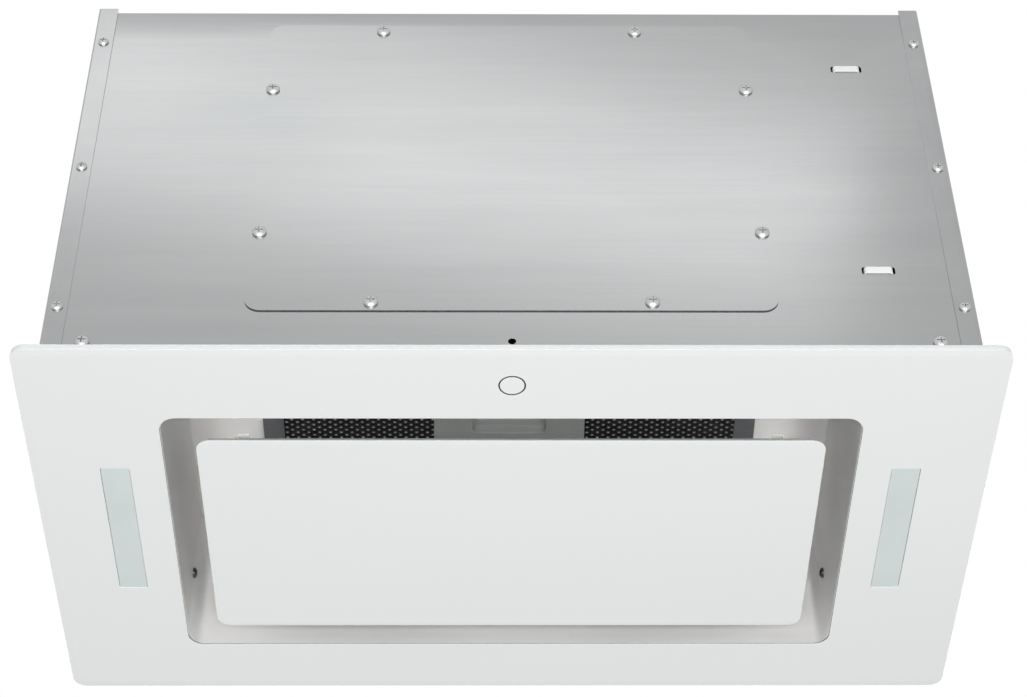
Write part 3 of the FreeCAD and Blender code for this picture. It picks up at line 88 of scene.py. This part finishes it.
# ---- node helpers ----------------------------------------------------------------------------------
def finish(name, colour, roughness, metallic=0.0, **more):
    """A new finish and its shader, with the values that are the same all over it."""
    material = bpy.data.materials.new(name)
    material.use_nodes = True
    shader = material.node_tree.nodes["Principled BSDF"]
    shader.inputs["Base Color"].default_value = (*colour, 1)
    shader.inputs["Roughness"].default_value = roughness
    shader.inputs["Metallic"].default_value = metallic
    for socket, value in more.items():
        shader.inputs[socket.replace("_", " ").title()].default_value = value
    return material


def shader_of(material):
    return material.node_tree.nodes["Principled BSDF"]


def noise(material, stretch, detail=3.0, rough=0.5):
    """Noise in the part's own coordinates; stretch is cycles per metre along X, Y and Z."""
    tree = material.node_tree
    place = tree.nodes.new("ShaderNodeTexCoord")
    scale = tree.nodes.new("ShaderNodeMapping")
    scale.inputs["Scale"].default_value = stretch
    pattern = tree.nodes.new("ShaderNodeTexNoise")
    pattern.inputs["Scale"].default_value = 1
    pattern.inputs["Detail"].default_value = detail
    pattern.inputs["Roughness"].default_value = rough
    tree.links.new(place.outputs["Object"], scale.inputs["Vector"])
    tree.links.new(scale.outputs["Vector"], pattern.inputs["Vector"])
    return pattern.outputs["Fac"]


def cells(material, size, feature="F1"):
    """Cell pattern; size is the cells' width in metres."""
    tree = material.node_tree
    place = tree.nodes.new("ShaderNodeTexCoord")
    pattern = tree.nodes.new("ShaderNodeTexVoronoi")
    pattern.feature = feature
    pattern.inputs["Scale"].default_value = 1 / size
    tree.links.new(place.outputs["Object"], pattern.inputs["Vector"])
    return pattern.outputs["Distance"]


def spread(material, value, low, high, start=0.3, end=0.7):
    """A pattern's values from start to end, mapped to low to high."""
    tree = material.node_tree
    node = tree.nodes.new("ShaderNodeMapRange")
    node.inputs["From Min"].default_value = start
    node.inputs["From Max"].default_value = end
    node.inputs["To Min"].default_value = low
    node.inputs["To Max"].default_value = high
    tree.links.new(value, node.inputs["Value"])
    return node.outputs["Result"]


def blended(material, share, first, second):
    """Colour that goes from the first to the second with the share; each is a colour or a socket."""
    tree = material.node_tree
    node = tree.nodes.new("ShaderNodeMix")
    node.data_type = "RGBA"
    tree.links.new(share, node.inputs["Factor"])
    for socket, colour in ((node.inputs[6], first), (node.inputs[7], second)):
        if isinstance(colour, tuple):
            socket.default_value = (*colour, 1)
        else:
            tree.links.new(colour, socket)
    return node.outputs[2]


def paint(material, colour):
    material.node_tree.links.new(colour, shader_of(material).inputs["Base Color"])


def polish(material, value):
    material.node_tree.links.new(value, shader_of(material).inputs["Roughness"])


def relief(material, value, depth, strength):
    """Raises and lowers the surface by the pattern; depth in metres."""
    tree = material.node_tree
    bump = tree.nodes.new("ShaderNodeBump")
    bump.inputs["Distance"].default_value = depth
    bump.inputs["Strength"].default_value = strength
    tree.links.new(value, bump.inputs["Height"])
    tree.links.new(bump.outputs["Normal"], shader_of(material).inputs["Normal"])


def joined(tree, operation, first, second):
    """Two values put together by a plain operation, such as MAXIMUM or MULTIPLY."""
    node = tree.nodes.new("ShaderNodeMath")
    node.operation = operation
    tree.links.new(first, node.inputs[0])
    tree.links.new(second, node.inputs[1])
    return node.outputs["Value"]


# ---- finishes --------------------------------------------------------------------------------------
def galvanised(name, grain):
    """Zinc-coated sheet: a fine rolled grain, faint clouds and smudges, and a soft sheen."""
    material = finish(name, (0.37, 0.376, 0.378), 0.16, 1.0)
    lines = noise(material, grain, 2.0)
    clouds = noise(material, tuple(min(scale, 45) for scale in grain), 3.0, 0.6)
    smudges = noise(material, (5, 5, 9), 2.0)
    cloudy = blended(material, spread(material, clouds, 0, 1, 0.2, 0.8),
                     (0.347, 0.355, 0.358), (0.383, 0.387, 0.389))
    handled = blended(material, spread(material, smudges, 0, 0.5, 0.4, 0.9), cloudy, (0.345, 0.364, 0.362))
    paint(material, blended(material, spread(material, lines, 0.0, 0.12), handled, (0.43, 0.436, 0.438)))
    polish(material, spread(material, smudges, 0.14, 0.19, 0.2, 0.8))
    relief(material, lines, 0.00002, 0.12)
    return material


def white_glass():
    """Toughened glass, painted white behind: deep gloss over a faintly cool white."""
    material = finish("white_glass", (0.765, 0.785, 0.78), 0.14, coat_weight=0.4, coat_roughness=0.03)
    clouds = noise(material, (3, 3, 3), 2.0)
    paint(material, blended(material, spread(material, clouds, 0, 1),
                            (0.785, 0.795, 0.793), (0.80, 0.81, 0.808)))
    polish(material, spread(material, noise(material, (60, 60, 60)), 0.11, 0.16))
    return material


def glass_edge():
    """Ground and polished glass edge, a little darker and cooler than the painted face."""
    material = finish("glass_edge", (0.70, 0.73, 0.73), 0.2, coat_weight=0.3, coat_roughness=0.08)
    marks = noise(material, (240, 240, 700), 3.0)
    paint(material, blended(material, spread(material, marks, 0, 1),
                            (0.68, 0.705, 0.705), (0.74, 0.76, 0.76)))
    polish(material, spread(material, marks, 0.14, 0.30))
    return material


def stainless(name, grain):
    """Brushed stainless steel, a little warm."""
    material = finish(name, (0.60, 0.585, 0.56), 0.28, 1.0)
    lines = noise(material, grain, 3.0, 0.65)
    clouds = noise(material, (9, 9, 9), 2.0)
    base = blended(material, spread(material, clouds, 0, 1), (0.56, 0.548, 0.525), (0.63, 0.62, 0.60))
    paint(material, blended(material, spread(material, lines, 0.0, 0.35), base, (0.70, 0.69, 0.67)))
    polish(material, spread(material, lines, 0.22, 0.40))
    relief(material, lines, 0.00002, 0.3)
    return material


def recess_sheet():
    """Pale satin sheet of the suction recess and the panel's tray, a little warm, with soft clouds."""
    material = finish("recess_sheet", (0.95, 0.94, 0.92), 0.28, 0.4)
    lines = noise(material, (12, 12, 700), 2.0)
    clouds = noise(material, (16, 16, 16), 3.0)
    base = blended(material, spread(material, clouds, 0, 1), (0.915, 0.905, 0.89), (0.95, 0.945, 0.935))
    paint(material, blended(material, spread(material, lines, 0.0, 0.12), base, (0.96, 0.955, 0.95)))
    polish(material, spread(material, clouds, 0.36, 0.39))
    return material


def bright_zinc():
    """Zinc-plated steel of screws, pins and springs."""
    material = finish("bright_zinc", (0.52, 0.525, 0.525), 0.48, 1.0)
    marks = noise(material, (900, 900, 900), 3.0)
    paint(material, blended(material, spread(material, marks, 0, 1),
                            (0.47, 0.475, 0.475), (0.56, 0.565, 0.56)))
    polish(material, spread(material, marks, 0.42, 0.54))
    return material


def shaded_cut_edge():
    """Edge of a cut sheet, raw and dull, painted near black: painted shade for the thin shadow line along a
    plate's outline.
    """
    material = finish("shaded_cut_edge", (0.08, 0.08, 0.08), 0.7, 0.4)
    marks = noise(material, (900, 900, 900), 2.0)
    paint(material, blended(material, spread(material, marks, 0, 1),
                            (0.06, 0.06, 0.06), (0.14, 0.14, 0.14)))
    return material


def moulded(name, colour, lift, roughness, gloss=0.0):
    """Moulded plastic or rubber with a fine spark-eroded texture."""
    material = finish(name, colour, roughness, coat_weight=gloss, coat_roughness=0.15)
    speckle = noise(material, (1400, 1400, 1400), 2.0)
    lighter = tuple(min(part * (1 + lift) + 0.004, 1) for part in colour)
    paint(material, blended(material, spread(material, speckle, 0, 1), colour, lighter))
    polish(material, spread(material, speckle, roughness - 0.06, roughness + 0.08))
    relief(material, speckle, 0.00003, 0.35)
    return material


def frosted():
    """Frosted acrylic of the lamp windows, faintly green-blue."""
    material = finish("frosted_lens", (0.66, 0.735, 0.72), 0.42, subsurface_weight=0.15)
    shader_of(material).inputs["Subsurface Radius"].default_value = (0.002, 0.002, 0.002)
    grains = noise(material, (1800, 1800, 1800), 2.0)
    clouds = noise(material, (22, 22, 22), 2.0)
    paint(material, blended(material, spread(material, clouds, 0, 1),
                            (0.605, 0.665, 0.655), (0.65, 0.705, 0.695)))
    polish(material, spread(material, grains, 0.36, 0.5))
    relief(material, grains, 0.00003, 0.4)
    return material


def soft_foam():
    """Grey foam of the bonding tapes."""
    material = finish("foam_tape", (0.2, 0.2, 0.2), 0.9)
    pores = cells(material, 0.0009)
    paint(material, blended(material, spread(material, pores, 0, 1, 0.0, 0.6),
                            (0.30, 0.30, 0.30), (0.42, 0.42, 0.42)))
    relief(material, pores, 0.0001, 0.5)
    return material


def drawn_metal(name, low, high, roughness, metal=0.25):
    """Dull metal with a fine drawn grain: anodised aluminium, or the dark zinc of small screws."""
    material = finish(name, low, roughness, metal)
    lines = noise(material, (20, 900, 900), 3.0)
    paint(material, blended(material, spread(material, lines, 0, 1), low, high))
    polish(material, spread(material, lines, roughness - 0.06, roughness + 0.1))
    relief(material, lines, 0.00002, 0.3)
    return material


def mesh_pack():
    """Layers of expanded aluminium foil inside the filter."""
    material = finish("mesh_pack", (0.85, 0.85, 0.85), 0.4, 0.3)
    strands = cells(material, 0.0021, "DISTANCE_TO_EDGE")
    depth = noise(material, (700, 700, 700), 2.0)
    bright = blended(material, spread(material, depth, 0, 1), (0.80, 0.81, 0.81), (0.97, 0.97, 0.97))
    foil = (0.72, 0.73, 0.73)
    paint(material, blended(material, spread(material, strands, 0, 1, 0.02, 0.14), bright, foil))
    relief(material, strands, 0.0003, 0.5)
    return material


def circuit():
    """Green solder mask with copper tracks under it."""
    material = finish("circuit_board", (0.02, 0.13, 0.05), 0.35, coat_weight=0.4, coat_roughness=0.1)
    tracks = cells(material, 0.003, "DISTANCE_TO_EDGE")
    paint(material, blended(material, spread(material, tracks, 0, 1, 0.05, 0.12),
                            (0.04, 0.2, 0.07), (0.012, 0.09, 0.035)))
    relief(material, tracks, 0.00005, 0.4)
    return material


def motor_paint():
    """Dark baked enamel over pressed steel."""
    material = finish("motor_paint", (0.05, 0.05, 0.055), 0.4, 0.4)
    orange_peel = noise(material, (500, 500, 500), 2.0)
    paint(material, blended(material, spread(material, orange_peel, 0, 1),
                            (0.04, 0.04, 0.045), (0.07, 0.07, 0.075)))
    polish(material, spread(material, orange_peel, 0.34, 0.5))
    relief(material, orange_peel, 0.00006, 0.4)
    return material


def braided():
    """Woven sleeve over the wires."""
    material = finish("wire_sleeve", (0.03, 0.03, 0.03), 0.7)
    tree = material.node_tree
    place = tree.nodes.new("ShaderNodeTexCoord")
    weave = tree.nodes.new("ShaderNodeTexWave")
    weave.bands_direction = "DIAGONAL"
    weave.inputs["Scale"].default_value = 420
    weave.inputs["Distortion"].default_value = 1.5
    tree.links.new(place.outputs["Object"], weave.inputs["Vector"])
    paint(material, blended(material, weave.outputs["Fac"], (0.018, 0.018, 0.018), (0.06, 0.06, 0.06)))
    relief(material, weave.outputs["Fac"], 0.0002, 0.6)
    return material


# ---- light, world and floor --------------------------------------------------------------------------
SOFT_BOXES = [  # name, place, aim, roll in degrees, width, height, watts, spread in degrees
    ("front_box", (-0.5, -2.4, 2.89), (0, 0, 0.15), -2, 2.6, 0.42, 3.5, 180),
    ("low_fill", (0.1, -2.07, -1.74), (0, 0, 0), 0, 2.4, 0.8, 17.5, 80),
    ("rear_box", (1.2, 2.6, 1.8), (0, 0, 0.15), 0, 2.0, 1.6, 12, 180),
]


def add_lights():
    """Soft boxes in front, low in front and behind; each lights the hood from the place in the list."""
    for name, place, aim, roll, width, height, watts, spread_angle in SOFT_BOXES:
        data = bpy.data.lights.new(name, "AREA")
        data.shape = "RECTANGLE"
        data.size, data.size_y, data.energy = width, height, watts
        data.spread = math.radians(spread_angle)
        lamp = bpy.data.objects.new(name, data)
        lamp.location = place
        towards = (Vector(aim) - Vector(place)).to_track_quat("-Z", "Y").to_matrix()
        lamp.rotation_euler = (towards @ Matrix.Rotation(math.radians(roll), 3, "Z")).to_euler()
        bpy.context.scene.collection.objects.link(lamp)


def add_world():
    """White behind the hood and in its reflections, a plain grey light for everything else."""
    world = bpy.data.worlds.new("studio")
    bpy.context.scene.world = world
    world.use_nodes = True
    tree = world.node_tree
    tree.nodes.clear()
    ray = tree.nodes.new("ShaderNodeLightPath")
    seen = joined(tree, "MAXIMUM", ray.outputs["Is Camera Ray"], ray.outputs["Is Glossy Ray"])
    all_seen = joined(tree, "MAXIMUM", seen, ray.outputs["Is Transmission Ray"])
    soft = tree.nodes.new("ShaderNodeBackground")
    soft.inputs["Color"].default_value = (0.97, 0.985, 1, 1)
    soft.inputs["Strength"].default_value = 0.42
    white = tree.nodes.new("ShaderNodeBackground")
    white.inputs["Color"].default_value = WHITE
    white.inputs["Strength"].default_value = 1.0
    either = tree.nodes.new("ShaderNodeMixShader")
    tree.links.new(all_seen, either.inputs["Fac"])
    tree.links.new(soft.outputs["Background"], either.inputs[1])
    tree.links.new(white.outputs["Background"], either.inputs[2])
    output = tree.nodes.new("ShaderNodeOutputWorld")
    tree.links.new(either.outputs["Shader"], output.inputs["Surface"])


def add_floor():
    """A pale floor far below the hood, which fades to white towards the horizon; in metres."""
    below, radius, fade_from, fade_to = -2.2, 60, 3.0, 16.0
    mesh = bpy.data.meshes.new("floor")
    shape = bmesh.new()
    bmesh.ops.create_circle(shape, cap_ends=True, segments=64, radius=radius)
    bmesh.ops.translate(shape, verts=shape.verts, vec=(0, 0, below))
    shape.to_mesh(mesh)
    shape.free()
    floor = bpy.data.objects.new("floor", mesh)
    bpy.context.scene.collection.objects.link(floor)
    material = finish("pale_floor", (0.86, 0.86, 0.85), 0.8)
    tree = material.node_tree
    place = tree.nodes.new("ShaderNodeTexCoord")
    away = tree.nodes.new("ShaderNodeVectorMath")
    away.operation = "LENGTH"
    tree.links.new(place.outputs["Object"], away.inputs[0])
    far = spread(material, away.outputs["Value"], 0.5, 1.0, fade_from, fade_to)
    ray = tree.nodes.new("ShaderNodeLightPath")
    seen = joined(tree, "MAXIMUM", ray.outputs["Is Camera Ray"], ray.outputs["Is Glossy Ray"])
    fade = joined(tree, "MULTIPLY", far, seen)
    white = tree.nodes.new("ShaderNodeEmission")
    either = tree.nodes.new("ShaderNodeMixShader")
    tree.links.new(fade, either.inputs["Fac"])
    tree.links.new(shader_of(material).outputs["BSDF"], either.inputs[1])
    tree.links.new(white.outputs["Emission"], either.inputs[2])
    tree.links.new(either.outputs["Shader"], tree.nodes["Material Output"].inputs["Surface"])
    mesh.materials.append(material)


# ---- modelling helpers ---------------------------------------------------------------------------------
def add_piece(name, shape, node, *finishes, turn=35, stands_in=True):
    """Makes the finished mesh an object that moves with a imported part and, as a rule, stands for it."""
    mesh = bpy.data.meshes.new(name)
    shape.to_mesh(mesh)
    shape.free()
    for material in finishes:
        mesh.materials.append(material)
    mesh.shade_smooth()
    mesh.set_sharp_from_angle(angle=math.radians(turn))
    piece = bpy.data.objects.new(name, mesh)
    bpy.context.scene.collection.objects.link(piece)
    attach(piece, node_body[node])
    if stands_in:
        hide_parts(node)
    return piece


def merged(node):
    """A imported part's mesh with its corners joined and its flat faces whole."""
    shape = bmesh.new()
    shape.from_mesh(nodes[node].data)
    bmesh.ops.remove_doubles(shape, verts=shape.verts[:], dist=0.000001)
    bmesh.ops.dissolve_limit(shape, angle_limit=math.radians(0.3), verts=shape.verts[:],
                             edges=shape.edges[:])
    return shape


def eased(node, material, ease, turn=30):
    """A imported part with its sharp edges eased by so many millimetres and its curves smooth."""
    piece = add_piece(node + "_finished", merged(node), node, material, turn=turn)
    if ease == 0:
        return piece
    edges = piece.modifiers.new("eased_edges", "BEVEL")
    edges.width = ease * MM
    edges.segments = 2
    edges.limit_method = "ANGLE"
    edges.angle_limit = math.radians(turn)
    edges.harden_normals = True
    return piece


def plate_with_cut_edges(node, face_finish, edge_finish):
    """An upright sheet plate whose cut edges take the second finish, raw and dark: the dark is painted shade
    along its outline.
    """
    shape = merged(node)
    for face in shape.faces:
        # faces that are not the plate's front or back are its edges, and take the painted shade
        face.material_index = 0 if abs(face.normal.y) > 0.5 else 1
    return add_piece(node + "_finished", shape, node, face_finish, edge_finish)


def rounded_loop(shape, centre, width, depth, corner, z):
    """Adds the edges of a rounded rectangle, lying level, in millimetres, and returns them."""
    sketch = bmesh.new()
    bmesh.ops.create_grid(sketch, x_segments=1, y_segments=1, size=0.5)
    bmesh.ops.scale(sketch, verts=sketch.verts[:], vec=(width * MM, depth * MM, 1))
    bmesh.ops.translate(sketch, verts=sketch.verts[:], vec=(centre[0] * MM, centre[1] * MM, z * MM))
    bmesh.ops.bevel(sketch, geom=sketch.verts[:], affect="VERTICES", offset=corner * MM,
                    offset_type="OFFSET", segments=10, profile=0.5, material=-1)
    bmesh.ops.delete(sketch, geom=sketch.faces[:], context="FACES_ONLY")
    held = bpy.data.meshes.new("outline")
    sketch.to_mesh(held)
    sketch.free()
    known = set(shape.edges)
    shape.from_mesh(held)
    bpy.data.meshes.remove(held)
    return [edge for edge in shape.edges if edge not in known]


def stacked(centre, rings, closed=False):
    """Level rounded rectangles in millimetres, each joined to the next, capped or as a closed ring."""
    shape = bmesh.new()
    loops = [rounded_loop(shape, centre, *ring) for ring in rings]
    for first, second in zip(loops, loops[1:] + loops[:1] if closed else loops[1:]):
        bmesh.ops.bridge_loops(shape, edges=first + second)
    if not closed:
        for loop in (loops[0], loops[-1]):
            bmesh.ops.contextual_create(shape, geom=loop)
    bmesh.ops.recalc_face_normals(shape, faces=shape.faces[:])
    return shape


def lean_back(point, loop, outward):
    """Draws an upper point of the glass back from an outline, so that the ground edge leans off the face."""
    lean, reach = 2.6, 0.1
    centre, width, depth = loop[:3]
    x, y = point.co.x / MM - centre[0], point.co.y / MM - centre[1]
    if max(abs(x) - width / 2, abs(y) - depth / 2) < reach:
        point.co.x = (centre[0] + x * (1 + outward * 2 * lean / width)) * MM
        point.co.y = (centre[1] + y * (1 + outward * 2 * lean / depth)) * MM


def glass_piece(name, node, outline, holes, band, fall, face_finish, edge_finish):
    """A glass plate on Z 0: a rim band that falls back a little, openings, and ground edges.

    The edge of the first hole leans back, and in a plate without holes the outer edge does."""
    high, arris, sharp, steep = GLASS, 0.5, 1.0, 0.9
    centre, width, depth, corner = outline
    shape = bmesh.new()
    rim = rounded_loop(shape, centre, width, depth, corner, fall)
    inner = rounded_loop(shape, centre, width - 2 * band, depth - 2 * band, corner - band / 2, 0)
    cut = [edge for hole in holes for edge in rounded_loop(shape, *hole, 0)]
    bmesh.ops.triangle_fill(shape, use_beauty=True, edges=inner + cut)
    bmesh.ops.bridge_loops(shape, edges=rim + inner)
    bmesh.ops.recalc_face_normals(shape, faces=shape.faces[:])
    if sum(face.normal.z * face.calc_area() for face in shape.faces) > 0:
        bmesh.ops.reverse_faces(shape, faces=shape.faces[:])
    bmesh.ops.dissolve_limit(shape, angle_limit=0.001, verts=shape.verts[:], edges=shape.edges[:])
    raised = bmesh.ops.extrude_face_region(shape, geom=shape.faces[:], use_keep_orig=True)
    leaning, outward = (holes[0], 1) if holes else (outline, -1)
    for item in raised["geom"]:
        if isinstance(item, bmesh.types.BMVert):
            item.co.z = high * MM
            lean_back(item, leaning, outward)
    bmesh.ops.recalc_face_normals(shape, faces=shape.faces[:])
    ground = [edge for edge in shape.edges if len(edge.link_faces) == 2 and edge.calc_face_angle(0) > sharp
              and abs(edge.verts[0].co.z - edge.verts[1].co.z) < 1e-7]
    bmesh.ops.bevel(shape, geom=ground, affect="EDGES", offset=arris * MM, offset_type="OFFSET", segments=3,
                    profile=0.5, material=1, clamp_overlap=True)
    for face in shape.faces:
        if abs(face.normal.z) < steep:
            face.material_index = 1
    piece = add_piece(name, shape, node, face_finish, edge_finish)
    for face in piece.data.polygons:
        if abs(face.normal.z) > 0.99:
            face.use_smooth = False
    return piece


# ---- the hood -------------------------------------------------------------------------------------------
def lamp_window(side, node, material):
    """Frosted window: a plug in the glass with eased edges, and a flange that laps over the glass."""
    low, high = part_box(node)
    x, y = side * LAMP_X, LAMP_Y
    width, depth, corner = LAMP_WIDTH, LAMP_DEPTH, LAMP_CORNER
    face, top = low.z / MM, high.z / MM
    arris, lap = 0.3, 3.0
    rings = [(width - 2 * arris, depth - 2 * arris, corner, face), (width, depth, corner, face + arris),
             (width, depth, corner, GLASS), (width + 2 * lap, depth + 2 * lap, corner, GLASS),
             (width + 2 * lap, depth + 2 * lap, corner, top)]
    return add_piece(node + "_window", stacked((x, y), rings), node, material)


def opening_lip(material):
    """Thin lip of the recess sheet that lines the glass opening down to just above the glass face."""
    centre, width, depth, corner = OPENING
    gap, wall, foot, top = 0.1, 0.35, 0.6, GLASS + 1.6
    rings = [(width - 2 * gap, depth - 2 * gap, corner, top),
             (width - 2 * gap, depth - 2 * gap, corner, foot),
             (width - 2 * wall, depth - 2 * wall, corner - wall, foot),
             (width - 2 * wall, depth - 2 * wall, corner - wall, top)]
    shape = stacked(centre, rings, closed=True)
    return add_piece("opening_lip", shape, "suction_liner", material, stands_in=False)


def perforated_face(name, centre_x, finish_used):
    """Perforated sheet of one field of the filter: staggered round holes."""
    step_x, step_y, sheet = HOLE_STEP_X, HOLE_STEP_Y, 0.35
    shape = bmesh.new()
    bmesh.ops.create_circle(shape, segments=8, radius=HOLE_RADIUS * MM)
    rim = shape.edges[:]
    grid = bmesh.ops.create_grid(shape, x_segments=2, y_segments=2, size=0.5)["verts"]
    bmesh.ops.scale(shape, verts=grid, vec=(step_x * MM, step_y * MM, 1))
    middle = [vert for vert in grid if vert.co.length < 1e-6]
    bmesh.ops.delete(shape, geom=middle, context="VERTS")
    border = [edge for edge in shape.edges if edge not in rim]
    bmesh.ops.bridge_loops(shape, edges=rim + border)
    columns, rows = math.ceil(FIELD_WIDTH / step_x), math.ceil(FIELD_DEPTH / step_y) + 1
    first = shape.verts[:] + shape.edges[:] + shape.faces[:]
    bmesh.ops.spin(shape, geom=first, angle=0, steps=rows - 1, dvec=(0, step_y * MM, 0), use_duplicate=True)
    column = shape.verts[:] + shape.edges[:] + shape.faces[:]
    shifted = bmesh.ops.duplicate(shape, geom=column)
    beside = [item for item in shifted["geom"] if isinstance(item, bmesh.types.BMVert)]
    bmesh.ops.translate(shape, verts=beside, vec=(step_x * MM, step_y * MM / 2, 0))
    pair = shape.verts[:] + shape.edges[:] + shape.faces[:]
    bmesh.ops.spin(shape, geom=pair, angle=0, steps=math.ceil(columns / 2), dvec=(2 * step_x * MM, 0, 0),
                   use_duplicate=True)
    bmesh.ops.remove_doubles(shape, verts=shape.verts[:], dist=0.00002)
    low_x, low_y = centre_x - FIELD_WIDTH / 2, FIELD_Y - FIELD_DEPTH / 2
    place = ((low_x + step_x / 2) * MM, low_y * MM, FIELD_Z * MM)
    bmesh.ops.translate(shape, verts=shape.verts[:], vec=place)
    for point, normal in (((low_x, 0), (-1, 0, 0)), ((low_x + FIELD_WIDTH, 0), (1, 0, 0)),
                          ((0, low_y), (0, -1, 0)), ((0, low_y + FIELD_DEPTH), (0, 1, 0))):
        whole = shape.verts[:] + shape.edges[:] + shape.faces[:]
        bmesh.ops.bisect_plane(shape, geom=whole, plane_co=(point[0] * MM, point[1] * MM, 0),
                               plane_no=normal, clear_outer=True)
    bmesh.ops.recalc_face_normals(shape, faces=shape.faces[:])
    if shape.faces[:][0].normal.z > 0:
        bmesh.ops.reverse_faces(shape, faces=shape.faces[:])
    piece = add_piece(name, shape, "filter_mesh", finish_used)
    wall = piece.modifiers.new("sheet", "SOLIDIFY")
    wall.thickness = sheet * MM
    wall.offset = -1
    return piece


def add_finishes():
    """Every finish of the hood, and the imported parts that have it."""
    across = galvanised("galvanised_across", (5, 700, 700))
    deep = galvanised("galvanised_deep", (700, 5, 700))
    screw = bright_zinc()
    black = moulded("black_moulding", (0.018, 0.018, 0.019), 0.5, 0.42)
    white = moulded("white_nylon", (0.80, 0.80, 0.79), 0.03, 0.4)
    groups = {
        across: "carrier_frame liner_brackets front_panel rear_panel top_panel blind_plate outlet_plate "
                "blower_scroll",
        deep: "side_panel_left side_panel_right blower_cheek_left blower_cheek_right motor_bracket",
        drawn_metal("dark_zinc", (0.10, 0.10, 0.10), (0.18, 0.18, 0.18), 0.3, 1.0): "liner_screws",
        screw: "blind_plate_screws outlet_plate_screws flange_screws corner_screws rail_screws "
               "flap_pins panel_hinge_pins catch_studs motor_shaft filter_springs",
        black: "touch_cover control_box control_box_lid cable_gland duct_collar flap_front flap_rear "
               "impeller",
        white: "capacitor cable_ties catch_clips",
        frosted(): "lamp_lens_left lamp_lens_right",
        soft_foam(): "glass_bond_tape panel_bond_tape",
        circuit(): "touch_board lamp_board_left lamp_board_right",
        stainless("aluminium_sheet", (10, 600, 600)): "lamp_housing_left lamp_housing_right",
        recess_sheet(): "suction_liner panel_tray panel_rail_left panel_rail_right panel_hinge_lugs",
        moulded("ring_print", (0.28, 0.285, 0.285), 0.1, 0.5): "touch_ring",
        moulded("black_rubber", (0.02, 0.02, 0.02), 0.3, 0.75): "motor_bushes",
        motor_paint(): "motor",
        braided(): "wiring_harness",
        drawn_metal("dark_anodised", (0.18, 0.185, 0.195), (0.22, 0.225, 0.235), 0.45): "filter_frame",
        drawn_metal("black_anodised", (0.012, 0.012, 0.013), (0.02, 0.02, 0.021), 0.4, 0.6): "filter_mesh",
        mesh_pack(): "filter_core",
        drawn_metal("satin_plate", (0.32, 0.34, 0.325), (0.385, 0.405, 0.39), 0.34): "filter_middle_plate",
        # the grip's finish is the plate's, made lighter: painted light that makes up for the shade the glass
        # lip casts on the grip
        drawn_metal("satin_grip_painted_light", (0.50, 0.52, 0.505), (0.58, 0.60, 0.585), 0.34): "filter_grip",
        white_glass(): "glass_frame panel_glass"}
    return {node: material for material, names in groups.items() for node in names.split()}


def main():
    """The studio, the pieces made anew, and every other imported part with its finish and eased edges."""
    add_camera()
    add_world()
    add_floor()
    add_lights()
    finishes = add_finishes()
    edge = glass_edge()
    glass = finishes["glass_frame"]
    window_size = (LAMP_WIDTH + LAMP_CLEARANCE, LAMP_DEPTH + LAMP_CLEARANCE, LAMP_CORNER)
    windows = [((side * LAMP_X, LAMP_Y), *window_size) for side in (-1, 1)]
    glass_piece("glass_plate", "glass_frame", PLATE, [OPENING] + windows, 4.5, 0.22, glass, edge)
    glass_piece("centre_glass", "panel_glass", CENTRE_GLASS, [], 3, 0.12, glass, edge)
    # the blind plate's edges are painted dark: painted shade along its outline
    plate_with_cut_edges("blind_plate", finishes["blind_plate"], shaded_cut_edge())
    for side, name in ((-1, "perforated_face_left"), (1, "perforated_face_right")):
        perforated_face(name, side * FIELD_X, finishes["filter_mesh"])
    for side, node in ((-1, "lamp_lens_left"), (1, "lamp_lens_right")):
        lamp_window(side, node, finishes[node])
    opening_lip(finishes["suction_liner"])
    made = ("glass_frame", "panel_glass", "blind_plate", "filter_mesh", "lamp_lens_left", "lamp_lens_right")
    for node, material in finishes.items():
        if node not in made:
            eased(node, material, OTHER_EASES.get(node, EDGE_EASE))


bpy.context.scene.view_settings.view_transform = "Standard"
main()
